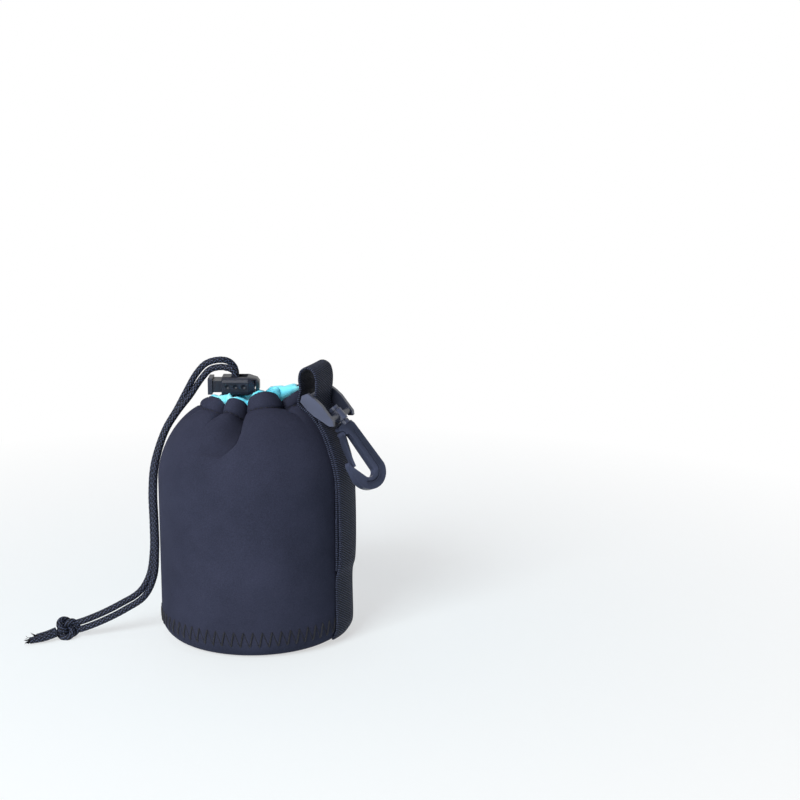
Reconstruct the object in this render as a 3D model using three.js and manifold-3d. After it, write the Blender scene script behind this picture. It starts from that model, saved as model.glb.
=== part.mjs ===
import * as THREE from 'three';
import { mergeVertices } from 'three/addons/utils/BufferGeometryUtils.js';
import Module from 'manifold-3d';

// Lens pouch with a drawcord, a cord lock, a webbing loop and a swivel hook.
// Lengths are in millimetres, +Z is up and the flat base stands on z = 0.
// Directions round the pouch are in degrees from -Y towards +X.

// Pouch
const pouchRadius = 45;
const baseCornerRadius = 9;
const panelThickness = 2.5;
const liningThickness = 0.7;
const touchGap = 0.3;
const liningGap = 0.4;
const baseEdgeAngle = 77;
const wallEdgeAngle = 80.5;
const hemHeight = 110.5;
const shoulderDepth = 34.5;
const shoulderHeight = hemHeight - shoulderDepth;
const straightShares = [0.41, 0.71];
const shoulderAngles = [0, 12, 24, 36, 48, 60, 72];
const shoulderShare = 1.73;
const archSteps = 5;

// Pleated neck and rim
const valleyAngles = [-38, -4, 47, 95, 130, 165, 200, 245, 283, 322];
const lobeHeightShares = [1, 1, 1, 1, 0.9, 0.8, 0.75, 0.75, 1];
const strapLobe = 2;
const lobeSteps = 6;
const lobeShare = 0.7;
const highSideAngle = 35;
const hemDepth = 19.5;
const hemRadius = pouchRadius - hemDepth;
const hemValleyDepth = 5.9;
const hemStrapDepth = 0.8;
const hemTiltHeight = 3;
const hemValleyHeight = 4.5;
const rimDepth = 3.5;
const rimRadius = hemRadius - rimDepth;
const rimValleyDepth = 4.6;
const rimStrapDepth = 5;
const rimValleyHeight = 2.3;
const rimPeakHeight = 5.75;
const rimTiltHeight = 1.6;
const rimCrownHeight = 0.7;
const hemAboveCord = 2.6;
const cordPlaneHeight = hemHeight - hemAboveCord;
const cordTiltHeight = 2.5;
const neckBelowCord = 2.2;
const neckAboveCord = 1.9;
const liningRimHeight = 1.1;

// Drawcord
const cordDiameter = 3;
const cordSides = 8;
const hemCordRadius = rimRadius - rimValleyDepth - panelThickness - cordDiameter / 2;
const neckGap = 0.4;
const neckRadius = hemCordRadius - cordDiameter / 2 - neckGap;
const hemCordSteps = 18;
const cordExitAngle = 222.5;
const cordExitWidth = 8.52;
const cordPairGap = 0.45;
const cordPairSpacing = cordDiameter + cordPairGap;
const buttonholeWidth = 8.6;
const buttonholeLength = 9;
const buttonholeDepth = 3.6;
const buttonholeOuterRadius = hemCordRadius + buttonholeDepth;
const buttonholeInnerRadius = buttonholeOuterRadius - buttonholeLength;
const buttonholeBelowCord = 2.1;
const buttonholeHeight = 14;

// Cord lock
const lockAboveCord = 11.13;
const lockBodyLength = 17.4;
const lockSlotRoom = 6.2;
const lockBodyLeft = -lockSlotRoom;
const lockBodyRight = lockBodyLength - lockSlotRoom;
const lockBodyWidth = 12;
const lockBodyHeight = 8.7;
const lockNoseWidth = 8.8;
const lockNoseHeight = 6.2;
const lockTaperLength = 5;
const lockCornerRadius = 2.2;
const lockNoseThickness = 1.5;
const lockBoreEnd = lockBodyRight - lockNoseThickness;
const pinchRoom = 3.6;
const pinchWallThickness = 1.6;
const plungerWidth = 9.4;
const plungerHeight = 5.4;
const plungerEnd = pinchRoom / 2 + pinchWallThickness;
const plungerTravel = 4.3;
const plungerLeft = lockBodyLeft - plungerTravel;
const buttonThickness = 2.1;
const buttonLeft = plungerLeft - buttonThickness;
const buttonWidth = 10.8;
const buttonHeight = 7.4;
const slotLength = 7.6;
const slotGap = 0.75;
const slotWidth = cordPairSpacing + cordDiameter + slotGap;
const dimpleRadius = 1.7;
const dimpleDepth = 0.5;
const dimpleShares = [0.16, 0.38, 0.6, 0.84];
const buttonRibCount = 3;
const buttonRibThickness = 0.5;
const springWireDiameter = 0.6;
const springRadius = 1.9;
const springTurns = 4;
const springSteps = 12;
const springSides = 6;

// Webbing strap, drawn in the upright plane through the middle of the strap
const strapAngle = 70;
const strapWidth = 20;
const strapThickness = 1;
const innerLayerDepth = 0.9;
const outerLayerDepth = 2.2;
const innerLayerHeight = 36;
const outerStepHeight = 32;
const outerStepLength = 6;
const strapStartAngles = [50, 63, 76, 90];

// Loop of the strap, from the rim in shares of its depth and height, outward and up
const loopDepth = 8.5;
const loopHeight = 11.2;
const loopShares = [
  [1.0, -0.97], [0.82, -0.65], [0.82, -0.34], [0.91, 0.1], [0.91, 0.55], [0.76, 0.87],
  [0.4, 1.0], [0.07, 0.87], [-0.05, 0.54], [-0.01, 0.22],
];

// Swivel frame and hook, hung from the loop in the same plane
const barDepth = 3.9;
const barBelowRim = 2.77;
const frameHeight = 9.2;
const shoulderBelowHem = 22.5;
const hookClearance = 2.45;
const plateDepth = 1.1;
const barRadius = 1.5;
const cheekGap = 0.7;
const cheekThickness = 2.2;
const cheekWidth = 6.4;
const cheekBackRadius = 2.6;
const cheekTipLength = 3.2;
const cheekTipWidth = 3;
const bossRadius = 2.8;
const bossHeight = 5.5;
const bossBoreRadius = 1.6;
const pinRadius = 1.3;
const pinHeadRadius = 2.4;
const pinHeadHeight = 1.7;
const neckLength = 2;
const pinAngle = 43;
const plateAngle = 27;
const plateTurn = 35;
const plateThickness = 3.8;
const roundSides = 24;

// Hook plate: the bend is an arc, the rest in shares of width and length, sideways and down
const hookWidth = 17.4;
const hookLength = 36.6;
const hookBendRadius = hookWidth / 2;
const hookBendHeight = hookLength - hookBendRadius;
const hookWindowRadius = 2.8;
const windowSideShare = -0.023;
const windowDownShare = 0.77;
const hookHeadShares = [[-0.3, 0.155], [-0.3, 0.12], [-0.15, 0.095], [0.15, 0.095], [0.21, 0.15]];
const hookNoseShares = [[-0.5, 0.67], [-0.5, 0.6], [-0.465, 0.56], [-0.43, 0.61], [-0.155, 0.82]];
const hookInnerShares = [[-0.04, 0.3], [-0.07, 0.24], [-0.13, 0.235]];
const gateShares = [
  [-0.3, 0.225], [-0.2, 0.24], [-0.27, 0.42], [-0.29, 0.55], [-0.3, 0.64],
  [-0.355, 0.64], [-0.36, 0.55], [-0.36, 0.4],
];
const gateRootShare = [-0.25, 0.215];
const gateKnuckleRadius = 1.3;
const gateThickness = 3.2;
const grooveRadius = 5.2;
const grooveDepth = 0.45;
const grooveStartShare = [0.1, 0.22];
const grooveEndAngle = 130;
const grooveSteps = 9;
const windowArcEnd = 118;

// Free run of the drawcord: middle of the pair and how far the pair is turned.
// The arch is measured from the middle of the lock, the fall outwards from the wall, along Y
// and down from the hem, and the floor run from the foot of the wall.
const fallLobe = 7;
const fallStep = 4;
const archRoute = [
  { at: [0, 0, -7.95], turn: 0 },
  { at: [0, 0, -1.55], turn: 0 },
  { at: [0, 0, 5.75], turn: 0 },
  { at: [-1.2, 0, 7.95], turn: 20 },
  { at: [-3.8, -0.05, 9.65], turn: 55 },
  { at: [-7.3, -0.25, 10.15], turn: 85 },
  { at: [-12.7, -0.45, 8.75], turn: 90 },
  { at: [-16.9, -0.75, 4.45], turn: 75 },
  { at: [-22.5, -1.35, -4.35], turn: 45 },
];
const fallRoute = [
  { at: [6.1, 7.4, 5.7], turn: 15 },
  { at: [3.9, 5.6, 14.1], turn: 10 },
  { at: [2.63, 3.6, 23.2], turn: 15 },
  { at: [2.64, 1.6, 32.5], turn: 22 },
  { at: [3.2, 0.4, 44.5], turn: 28 },
  { at: [2.9, -0.6, 58.5], turn: 30 },
  { at: [2.9, -2, 71.5], turn: 32 },
];
const floorRoute = [
  { at: [-4.2, -5, 27.4], turn: 45 },
  { at: [-8.6, -8, 19.4], turn: 60 },
  { at: [-17.5, -10.5, 14], turn: 70 },
  { at: [-26.8, -12.2, 9.6], turn: 70 },
  { at: [-34.6, -13.2, 6.6], turn: 65 },
  { at: [-38.3, -13.6, 5.5], turn: 60 },
];
const leadStartA = [[-1.6, -2.15, -10.85], [-0.6, -1.85, -10.15]];
const leadStartB = [[2, 2.05, -11.05], [0.7, 1.95, -10.35]];
const knotCentre = [-43.2, -14.2, 4.6];
const knotRadii = [4.4, 4.6, 4.1];
const knotLumpHeight = 0.35;
const knotSegments = 12;
const tailRouteA = [[-48.4, -14.6, 3.8], [-52.4, -16.4, 2.6], [-56.6, -18.6, 1.9]];
const tailRouteB = [[-47.8, -18.6, 3.4], [-53, -21.2, 2.3], [-59.2, -23.4, 1.9]];

const wasm = await Module();
wasm.setup();

const radians = (angle) => THREE.MathUtils.degToRad(angle);

// Finishes
function neopreneFinish() {
  return new THREE.MeshStandardMaterial({ color: 0x34353f, roughness: 0.85, metalness: 0 });
}

function liningFinish() {
  return new THREE.MeshStandardMaterial({ color: 0x45b7ea, roughness: 0.8, metalness: 0 });
}

function webbingFinish() {
  return new THREE.MeshStandardMaterial({ color: 0x26262c, roughness: 0.75, metalness: 0 });
}

function cordFinish() {
  return new THREE.MeshStandardMaterial({ color: 0x1d1d22, roughness: 0.7, metalness: 0 });
}

function plasticFinish() {
  return new THREE.MeshStandardMaterial({ color: 0x202126, roughness: 0.4, metalness: 0 });
}

function springFinish() {
  return new THREE.MeshStandardMaterial({ color: 0xb8bac0, roughness: 0.3, metalness: 1 });
}

// Solids and meshes
function signedVolume(position, index) {
  const a = new THREE.Vector3();
  const b = new THREE.Vector3();
  const c = new THREE.Vector3();
  let volume = 0;
  for (let i = 0; i < index.length; i += 3) {
    a.fromBufferAttribute(position, index[i]);
    b.fromBufferAttribute(position, index[i + 1]);
    c.fromBufferAttribute(position, index[i + 2]);
    volume += a.dot(b.cross(c));
  }
  return volume;
}

function closedGeometry(points, index) {
  const geometry = new THREE.BufferGeometry().setFromPoints(points);
  const position = geometry.getAttribute('position');
  const facingOut = signedVolume(position, index) > 0;
  const ordered = facingOut ? index : index.slice().reverse();
  geometry.setIndex(ordered);
  geometry.computeVertexNormals();
  return geometry;
}

function ringStrip(index, first, second, count) {
  for (let j = 0; j < count; j += 1) {
    const next = (j + 1) % count;
    index.push(first + j, second + j, second + next);
    index.push(first + j, second + next, first + next);
  }
}

// A loft through rings of equal count that closes on its own first ring
function ringLoft(rings) {
  const count = rings[0].length;
  const index = [];
  rings.forEach((ring, i) => {
    const following = (i + 1) % rings.length;
    ringStrip(index, i * count, following * count, count);
  });
  return closedGeometry(rings.flat(), index);
}

// A loft through rings of equal count with a flat cap at each end
function cappedLoft(rings) {
  const count = rings[0].length;
  const points = rings.flat();
  const index = [];
  for (let i = 0; i + 1 < rings.length; i += 1) {
    ringStrip(index, i * count, (i + 1) * count, count);
  }
  const last = (rings.length - 1) * count;
  for (let j = 1; j + 1 < count; j += 1) {
    index.push(0, j, j + 1);
    index.push(last, last + j + 1, last + j);
  }
  return closedGeometry(points, index);
}

function toSolid(geometry) {
  const bare = geometry.clone();
  bare.deleteAttribute('normal');
  bare.deleteAttribute('uv');
  const merged = mergeVertices(bare);
  const vertProperties = new Float32Array(merged.getAttribute('position').array);
  const triVerts = new Uint32Array(merged.index.array);
  return new wasm.Manifold(new wasm.Mesh({ numProp: 3, vertProperties, triVerts }));
}

function toGeometry(solid) {
  const mesh = solid.getMesh();
  const geometry = new THREE.BufferGeometry();
  geometry.setAttribute('position', new THREE.BufferAttribute(mesh.vertProperties, 3));
  geometry.setIndex(Array.from(mesh.triVerts));
  geometry.computeVertexNormals();
  return geometry;
}

function named(name, geometry, finish) {
  const mesh = new THREE.Mesh(geometry, finish);
  mesh.name = name;
  return mesh;
}

function vector(point) {
  return new THREE.Vector3(point[0], point[1], point[2]);
}

function box(sizeX, sizeY, sizeZ, centre) {
  const geometry = new THREE.BoxGeometry(sizeX, sizeY, sizeZ);
  geometry.translate(centre[0], centre[1], centre[2]);
  return toSolid(geometry);
}

// Pouch outline at one direction round the axis, as [radius, height] from seam to rim
function lobeAt(valley, step) {
  const share = step / lobeSteps;
  const start = valleyAngles[valley];
  const angle = start + (valleyAngles[valley + 1] - start) * share;
  const swell = Math.sin(Math.PI * share);
  const fullness = Math.pow(Math.max(swell, 0), lobeShare);
  const strapShare = valley === strapLobe ? swell : 0;
  return { angle, fullness, strapShare, heightShare: lobeHeightShares[valley] };
}

function tiltShare(angle) {
  return Math.cos(radians(angle - highSideAngle));
}

function cordPlaneAt(angle) {
  return cordPlaneHeight + cordTiltHeight * tiltShare(angle);
}

function cornerPoint(radius, angle) {
  const flatRadius = pouchRadius - baseCornerRadius;
  const across = flatRadius + radius * Math.sin(radians(angle));
  const up = baseCornerRadius - radius * Math.cos(radians(angle));
  return [across, up];
}

function shoulderPoint(angle, topRadius, topHeight) {
  const power = 2 / shoulderShare;
  const last = radians(shoulderAngles[shoulderAngles.length - 1]);
  const rise = Math.pow(Math.sin(radians(angle)), power) / Math.pow(Math.sin(last), power);
  const lastInset = 1 - Math.pow(Math.cos(last), power);
  const inset = (1 - Math.pow(Math.cos(radians(angle)), power)) / lastInset;
  const radius = pouchRadius - (pouchRadius - topRadius) * inset;
  const height = shoulderHeight + (topHeight - shoulderHeight) * rise;
  return [radius, height];
}

function pouchOutline(place) {
  const missing = 1 - place.fullness;
  const tilt = tiltShare(place.angle);
  const topRadius = hemRadius - hemValleyDepth * missing + hemStrapDepth * place.strapShare;
  const topHeight = hemHeight + hemTiltHeight * tilt - hemValleyHeight * missing;
  const edgeRadius = rimRadius - rimValleyDepth * missing + rimStrapDepth * place.strapShare;
  const peakRise = (rimPeakHeight + rimTiltHeight * tilt) * place.fullness * place.heightShare;
  const edgeHeight = cordPlaneAt(place.angle) + rimValleyHeight + peakRise;
  const outline = [
    cornerPoint(baseCornerRadius, wallEdgeAngle),
    [pouchRadius, baseCornerRadius],
  ];
  straightShares.forEach((share) => outline.push([pouchRadius, shoulderHeight * share]));
  shoulderAngles.forEach((angle) => outline.push(shoulderPoint(angle, topRadius, topHeight)));
  outline.push([edgeRadius, edgeHeight]);
  return outline;
}

function outwardAt(outline, row) {
  const before = outline[Math.max(row - 1, 0)];
  const after = outline[Math.min(row + 1, outline.length - 1)];
  const across = after[0] - before[0];
  const up = after[1] - before[1];
  const length = Math.hypot(across, up);
  return [up / length, -across / length];
}

function offsetOutline(outline, distance) {
  return outline.map((point, row) => {
    const outward = outwardAt(outline, row);
    return [point[0] + outward[0] * distance, point[1] + outward[1] * distance];
  });
}

function radiusAt(outline, height) {
  const row = outline.findIndex((point) => point[1] >= height);
  const below = outline[row - 1];
  const above = outline[row];
  const share = (height - below[1]) / (above[1] - below[1]);
  return below[0] + (above[0] - below[0]) * share;
}

// The same, with the seam edge cut along the corner's own radius
function insetOutline(outline, depth) {
  const inset = offsetOutline(outline, -depth);
  inset[0] = cornerPoint(baseCornerRadius - depth, wallEdgeAngle);
  inset[1] = [pouchRadius - depth, baseCornerRadius];
  return inset;
}

function allPlaces() {
  const places = [];
  for (let valley = 0; valley + 1 < valleyAngles.length; valley += 1) {
    for (let step = 0; step < lobeSteps; step += 1) {
      places.push(lobeAt(valley, step));
    }
  }
  return places;
}

function turned(profile, angle) {
  const across = Math.sin(radians(angle));
  const along = -Math.cos(radians(angle));
  return profile.map((p) => new THREE.Vector3(p[0] * across, p[0] * along, p[1]));
}

function wallPanel() {
  const rings = allPlaces().map((place) => {
    const outer = pouchOutline(place);
    const inner = insetOutline(outer, panelThickness);
    const edgeOut = outer[outer.length - 1];
    const edgeIn = inner[inner.length - 1];
    const crownHeight = Math.max(edgeOut[1], edgeIn[1]) + rimCrownHeight;
    const crown = [(edgeOut[0] + edgeIn[0]) / 2, crownHeight];
    return turned([...outer, crown, ...inner.reverse()], place.angle);
  });
  return named('wall_panel', ringLoft(rings), neopreneFinish());
}

// The lining stands behind the wall, closes in below the cord and opens again to the rim
function liningProfile(place) {
  const outer = pouchOutline(place);
  const depth = panelThickness + liningGap;
  const lastShoulder = outer.length - 2;
  const back = insetOutline(outer, depth);
  const front = insetOutline(outer, depth + liningThickness);
  const cordPlane = cordPlaneAt(place.angle);
  const rimBack = back[back.length - 1];
  const rimTop = rimBack[1] + liningRimHeight;
  const lean = liningGap * liningRimHeight;
  const neckLow = [neckRadius, cordPlane - neckBelowCord];
  const neckHigh = [neckRadius, cordPlane + neckAboveCord];
  const backRows = [...back.slice(0, lastShoulder), neckLow, neckHigh, [rimBack[0] - lean, rimTop]];
  const throat = neckRadius - liningThickness;
  const frontRows = [
    ...front.slice(0, lastShoulder),
    [throat, neckLow[1] - liningThickness],
    [throat, neckHigh[1] + liningThickness / 2],
    [rimBack[0] - lean - liningThickness, rimTop + liningThickness / 2],
  ];
  return [...frontRows, ...backRows.reverse()];
}

function buttonholeTool() {
  const geometry = new THREE.BoxGeometry(buttonholeLength, buttonholeWidth, buttonholeHeight);
  const low = cordPlaneAt(cordExitAngle) - buttonholeBelowCord;
  geometry.translate((buttonholeOuterRadius + buttonholeInnerRadius) / 2, 0, low + buttonholeHeight / 2);
  geometry.rotateZ(radians(cordExitAngle) - Math.PI / 2);
  return toSolid(geometry);
}

function wallLining() {
  const rings = allPlaces().map((place) => turned(liningProfile(place), place.angle));
  const solid = toSolid(ringLoft(rings)).subtract(buttonholeTool());
  return named('wall_lining', toGeometry(solid), liningFinish());
}

function dish(name, depth, thickness, finish) {
  const outerRadius = baseCornerRadius - depth;
  const innerRadius = outerRadius - thickness;
  const profile = [new THREE.Vector2(0, depth)];
  for (let i = 0; i <= archSteps; i += 1) {
    const point = cornerPoint(outerRadius, (baseEdgeAngle * i) / archSteps);
    profile.push(new THREE.Vector2(point[0], point[1]));
  }
  for (let i = archSteps; i >= 0; i -= 1) {
    const point = cornerPoint(innerRadius, (baseEdgeAngle * i) / archSteps);
    profile.push(new THREE.Vector2(point[0], point[1]));
  }
  profile.push(new THREE.Vector2(0, depth + thickness));
  const sides = (valleyAngles.length - 1) * lobeSteps;
  const geometry = new THREE.LatheGeometry(profile, sides);
  geometry.rotateX(Math.PI / 2);
  return named(name, geometry, finish);
}

function basePanel() {
  return dish('base_panel', 0, panelThickness, neopreneFinish());
}

function baseLining() {
  return dish('base_lining', panelThickness + liningGap, liningThickness, liningFinish());
}

// Upright plane of the strap: across is away from the pouch, up is +Z
function strapDirections() {
  const outward = new THREE.Vector3(Math.sin(radians(strapAngle)), -Math.cos(radians(strapAngle)), 0);
  const up = new THREE.Vector3(0, 0, 1);
  const along = new THREE.Vector3().crossVectors(up, outward);
  return { outward, up, along };
}

function strapPlanePoint(across, side, height) {
  const { outward, along } = strapDirections();
  return new THREE.Vector3()
    .addScaledVector(outward, across)
    .addScaledVector(along, side)
    .setZ(height);
}

function placeInStrapPlane(geometry) {
  const { outward, up, along } = strapDirections();
  const basis = new THREE.Matrix4().makeBasis(outward, up, along.clone().negate());
  return geometry.applyMatrix4(basis);
}

function ribbonShape(middle, thickness) {
  const left = offsetOutline(middle, thickness / 2);
  const right = offsetOutline(middle, -thickness / 2);
  const edge = [...left, ...right.reverse()];
  return new THREE.Shape(edge.map((point) => new THREE.Vector2(point[0], point[1])));
}

function outerLayerDepthAt(height) {
  const share = (height - outerStepHeight) / outerStepLength;
  const part = Math.min(Math.max(share, 0), 1);
  return innerLayerDepth + (outerLayerDepth - innerLayerDepth) * part;
}

function strapLobeOutline() {
  return pouchOutline(lobeAt(strapLobe, lobeSteps / 2));
}

// Rim of the lobe under the strap, where the loop leaves it
function rimEdge() {
  const wall = strapLobeOutline();
  const edge = wall[wall.length - 1];
  return [edge[0] + innerLayerDepth, edge[1]];
}

// Distance of the strap's outer face from the axis of the pouch
function strapFaceAt(height) {
  return radiusAt(offsetOutline(strapLobeOutline(), outerLayerDepth + strapThickness / 2), height);
}

function strapMiddle() {
  const wall = strapLobeOutline();
  const innerLayer = offsetOutline(wall, innerLayerDepth);
  const outerLayer = offsetOutline(wall, outerLayerDepth);
  const route = strapStartAngles.map((a) => cornerPoint(baseCornerRadius + innerLayerDepth, a));
  route.push([pouchRadius + outerLayerDepthAt(outerStepHeight), outerStepHeight]);
  const stepTop = outerStepHeight + outerStepLength;
  route.push([pouchRadius + outerLayerDepthAt(stepTop), stepTop]);
  const shoulderRow = wall.findIndex((p) => p[1] >= shoulderHeight);
  const lastRow = wall.length - 1;
  outerLayer.slice(shoulderRow, lastRow - 2).forEach((point) => route.push(point));
  const edge = rimEdge();
  loopShares.forEach((share) => {
    route.push([edge[0] + loopDepth * share[0], edge[1] + loopHeight * share[1]]);
  });
  const down = innerLayer.slice(shoulderRow - 1, lastRow + 1).reverse();
  down.forEach((point) => route.push(point));
  route.push([pouchRadius + innerLayerDepth, innerLayerHeight]);
  return route;
}

function webbingStrap() {
  const shape = ribbonShape(strapMiddle(), strapThickness);
  const geometry = new THREE.ExtrudeGeometry(shape, {
    depth: strapWidth,
    bevelEnabled: false,
    curveSegments: 1,
  });
  geometry.translate(0, 0, -strapWidth / 2);
  return named('webbing_strap', placeInStrapPlane(geometry), webbingFinish());
}

// Cords
function sweptCord(points, diameter, sides) {
  const curve = new THREE.CatmullRomCurve3(points, false, 'centripetal');
  const rings = [];
  const last = points.length - 1;
  let across = new THREE.Vector3(0, 1, 0);
  points.forEach((centre, i) => {
    const tangent = curve.getTangent(i / last);
    across.addScaledVector(tangent, -across.dot(tangent));
    if (i === 0 && across.length() < touchGap) {
      across = new THREE.Vector3(0, 0, 1).addScaledVector(tangent, -tangent.z);
    }
    across.normalize();
    const other = new THREE.Vector3().crossVectors(tangent, across);
    const ring = [];
    for (let j = 0; j < sides; j += 1) {
      const angle = (2 * Math.PI * j) / sides;
      const point = centre.clone();
      point.addScaledVector(across, (Math.cos(angle) * diameter) / 2);
      point.addScaledVector(other, (Math.sin(angle) * diameter) / 2);
      ring.push(point);
    }
    rings.push(ring);
  });
  return cappedLoft(rings);
}

function hemCord() {
  const halfAngle = THREE.MathUtils.radToDeg(Math.asin(cordExitWidth / 2 / hemCordRadius));
  const first = cordExitAngle + halfAngle;
  const sweep = 360 - 2 * halfAngle;
  const points = [];
  for (let i = 0; i <= hemCordSteps; i += 1) {
    const angle = first + (sweep * i) / hemCordSteps;
    points.push(turned([[hemCordRadius, cordPlaneAt(angle)]], angle)[0]);
  }
  const geometry = sweptCord(points, cordDiameter, cordSides);
  return named('hem_cord', geometry, cordFinish());
}

function lockCentre() {
  return turned([[hemCordRadius, cordPlaneAt(cordExitAngle) + lockAboveCord]], cordExitAngle)[0];
}

function besideFoot(point) {
  return vector(point).setX(point[0] - pouchRadius);
}

function besideWall(point) {
  const height = hemHeight - point[2];
  const wall = radiusAt(pouchOutline(lobeAt(fallLobe, fallStep)), height);
  return new THREE.Vector3(-wall - point[0], point[1], height);
}

function pairRoute() {
  const arch = archRoute.map((place) => ({ at: vector(place.at).add(lockCentre()), turn: place.turn }));
  const fall = fallRoute.map((place) => ({ at: besideWall(place.at), turn: place.turn }));
  const floor = floorRoute.map((place) => ({ at: besideFoot(place.at), turn: place.turn }));
  return [...arch, ...fall, ...floor];
}

function pairTangent(route, i) {
  const before = route[Math.max(i - 1, 0)].at;
  const after = route[Math.min(i + 1, route.length - 1)].at;
  return after.clone().sub(before).normalize();
}

function leadRoute(start, side) {
  const pair = pairRoute();
  const route = start.map((point) => vector(point).add(lockCentre()));
  pair.forEach((place, i) => {
    const tangent = pairTangent(pair, i);
    const level = new THREE.Vector3(0, 1, 0).addScaledVector(tangent, -tangent.y).normalize();
    const other = new THREE.Vector3().crossVectors(tangent, level);
    const point = place.at.clone();
    const half = (side * cordPairSpacing) / 2;
    point.addScaledVector(level, half * Math.cos(radians(place.turn)));
    point.addScaledVector(other, -half * Math.sin(radians(place.turn)));
    route.push(point);
  });
  return route;
}

function cordLead(name, start, side) {
  const route = leadRoute(start, side);
  const geometry = sweptCord(route, cordDiameter, cordSides);
  return named(name, geometry, cordFinish());
}

function cordTail(name, route) {
  const points = route.map(besideFoot);
  const geometry = sweptCord(points, cordDiameter, cordSides);
  return named(name, geometry, cordFinish());
}

function cordKnot() {
  const geometry = new THREE.SphereGeometry(1, knotSegments, knotSegments / 2);
  const solid = toSolid(geometry);
  const rounded = toGeometry(solid);
  const position = rounded.getAttribute('position');
  const point = new THREE.Vector3();
  for (let i = 0; i < position.count; i += 1) {
    point.fromBufferAttribute(position, i);
    const lump = knotLumpHeight * Math.sin(3 * Math.atan2(point.y, point.x) + 2 * point.z);
    const flatness = 1 - point.z * point.z;
    point.set(
      point.x * (knotRadii[0] + lump * flatness),
      point.y * (knotRadii[1] + lump * flatness),
      point.z * knotRadii[2],
    );
    position.setXYZ(i, point.x, point.y, point.z);
  }
  const centre = besideFoot(knotCentre);
  rounded.translate(centre.x, centre.y, centre.z);
  rounded.computeVertexNormals();
  return named('cord_knot', rounded, cordFinish());
}

// Cord lock, drawn about the middle of its cord slot with its length along X
function roundedSection(x, width, height, corner) {
  const ring = [];
  const corners = [[1, 1], [-1, 1], [-1, -1], [1, -1]];
  const cornerSteps = 3;
  corners.forEach((sign, k) => {
    for (let i = 0; i <= cornerSteps; i += 1) {
      const angle = (Math.PI / 2) * (k + i / cornerSteps);
      const y = sign[0] * (width / 2 - corner) + corner * Math.cos(angle);
      const z = sign[1] * (height / 2 - corner) + corner * Math.sin(angle);
      ring.push(new THREE.Vector3(x, y, z));
    }
  });
  return ring;
}

function lockBodyShell() {
  const corner = lockCornerRadius;
  const trim = 2 * touchGap;
  const taperStart = lockBodyRight - lockTaperLength;
  const sections = [
    roundedSection(lockBodyLeft, lockBodyWidth - trim, lockBodyHeight - trim, corner),
    roundedSection(lockBodyLeft + touchGap, lockBodyWidth, lockBodyHeight, corner),
    roundedSection(taperStart, lockBodyWidth, lockBodyHeight, corner),
    roundedSection(lockBodyRight - corner / 2, lockNoseWidth + trim, lockNoseHeight + trim, corner),
    roundedSection(lockBodyRight, lockNoseWidth - corner, lockNoseHeight - corner, corner / 2),
  ];
  return toSolid(cappedLoft(sections));
}

function lockDimple(x) {
  const geometry = new THREE.SphereGeometry(dimpleRadius, roundSides / 2, roundSides / 4);
  geometry.translate(x, -lockBodyWidth / 2 - dimpleRadius + dimpleDepth, 0);
  return toSolid(geometry);
}

function lockBody() {
  const bodySlotMiddle = slotLength / 2 - pinchRoom / 2;
  const boreStart = lockBodyLeft - touchGap;
  const boreWidth = plungerWidth + 2 * touchGap;
  const boreHeight = plungerHeight + 2 * touchGap;
  const boreMiddle = (boreStart + lockBoreEnd) / 2;
  const bore = box(lockBoreEnd - boreStart, boreWidth, boreHeight, [boreMiddle, 0, 0]);
  const slot = box(slotLength, slotWidth, 2 * lockBodyHeight, [bodySlotMiddle, 0, 0]);
  let solid = lockBodyShell().subtract(bore).subtract(slot);
  dimpleShares.forEach((share) => {
    solid = solid.subtract(lockDimple(lockBodyLeft + lockBodyLength * share));
  });
  const geometry = toGeometry(solid);
  const centre = lockCentre();
  geometry.translate(centre.x, centre.y, centre.z);
  return named('lock_body', geometry, plasticFinish());
}

function lockPlunger() {
  const slotMiddle = pinchRoom / 2 - slotLength / 2;
  const shaftLength = plungerEnd - plungerLeft + touchGap;
  const shaftMiddle = (plungerEnd + plungerLeft - touchGap) / 2;
  const shaft = box(shaftLength, plungerWidth, plungerHeight, [shaftMiddle, 0, 0]);
  const buttonLength = plungerLeft - buttonLeft;
  const buttonMiddle = (plungerLeft + buttonLeft) / 2;
  const button = box(buttonLength, buttonWidth, buttonHeight, [buttonMiddle, 0, 0]);
  const slot = box(slotLength, slotWidth, 2 * lockBodyHeight, [slotMiddle, 0, 0]);
  let solid = shaft.add(button).subtract(slot);
  for (let i = 0; i < buttonRibCount; i += 1) {
    const y = (buttonWidth * (i + 1)) / (buttonRibCount + 1) - buttonWidth / 2;
    const groove = box(buttonRibThickness, buttonRibThickness, 2 * buttonHeight, [buttonLeft, y, 0]);
    solid = solid.subtract(groove);
  }
  const geometry = toGeometry(solid);
  const centre = lockCentre();
  geometry.translate(centre.x, centre.y, centre.z);
  return named('lock_plunger', geometry, plasticFinish());
}

function lockSpring() {
  const start = plungerEnd + touchGap + springWireDiameter / 2;
  const end = lockBoreEnd - touchGap - springWireDiameter / 2;
  const steps = springTurns * springSteps;
  const points = [];
  for (let i = 0; i <= steps; i += 1) {
    const angle = (2 * Math.PI * i) / springSteps;
    const x = start + ((end - start) * i) / steps;
    points.push(new THREE.Vector3(x, springRadius * Math.cos(angle), springRadius * Math.sin(angle)));
  }
  const geometry = sweptCord(points, springWireDiameter, springSides);
  const centre = lockCentre();
  geometry.translate(centre.x, centre.y, centre.z);
  return named('lock_spring', geometry, springFinish());
}

// Round bar between two points
function roundBar(from, to, radius, sides) {
  const length = from.distanceTo(to);
  const geometry = new THREE.CylinderGeometry(radius, radius, length, sides);
  const direction = to.clone().sub(from).normalize();
  const turn = new THREE.Quaternion().setFromUnitVectors(new THREE.Vector3(0, 1, 0), direction);
  geometry.applyQuaternion(turn);
  const middle = from.clone().add(to).multiplyScalar(1 / 2);
  geometry.translate(middle.x, middle.y, middle.z);
  return toSolid(geometry);
}

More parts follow.
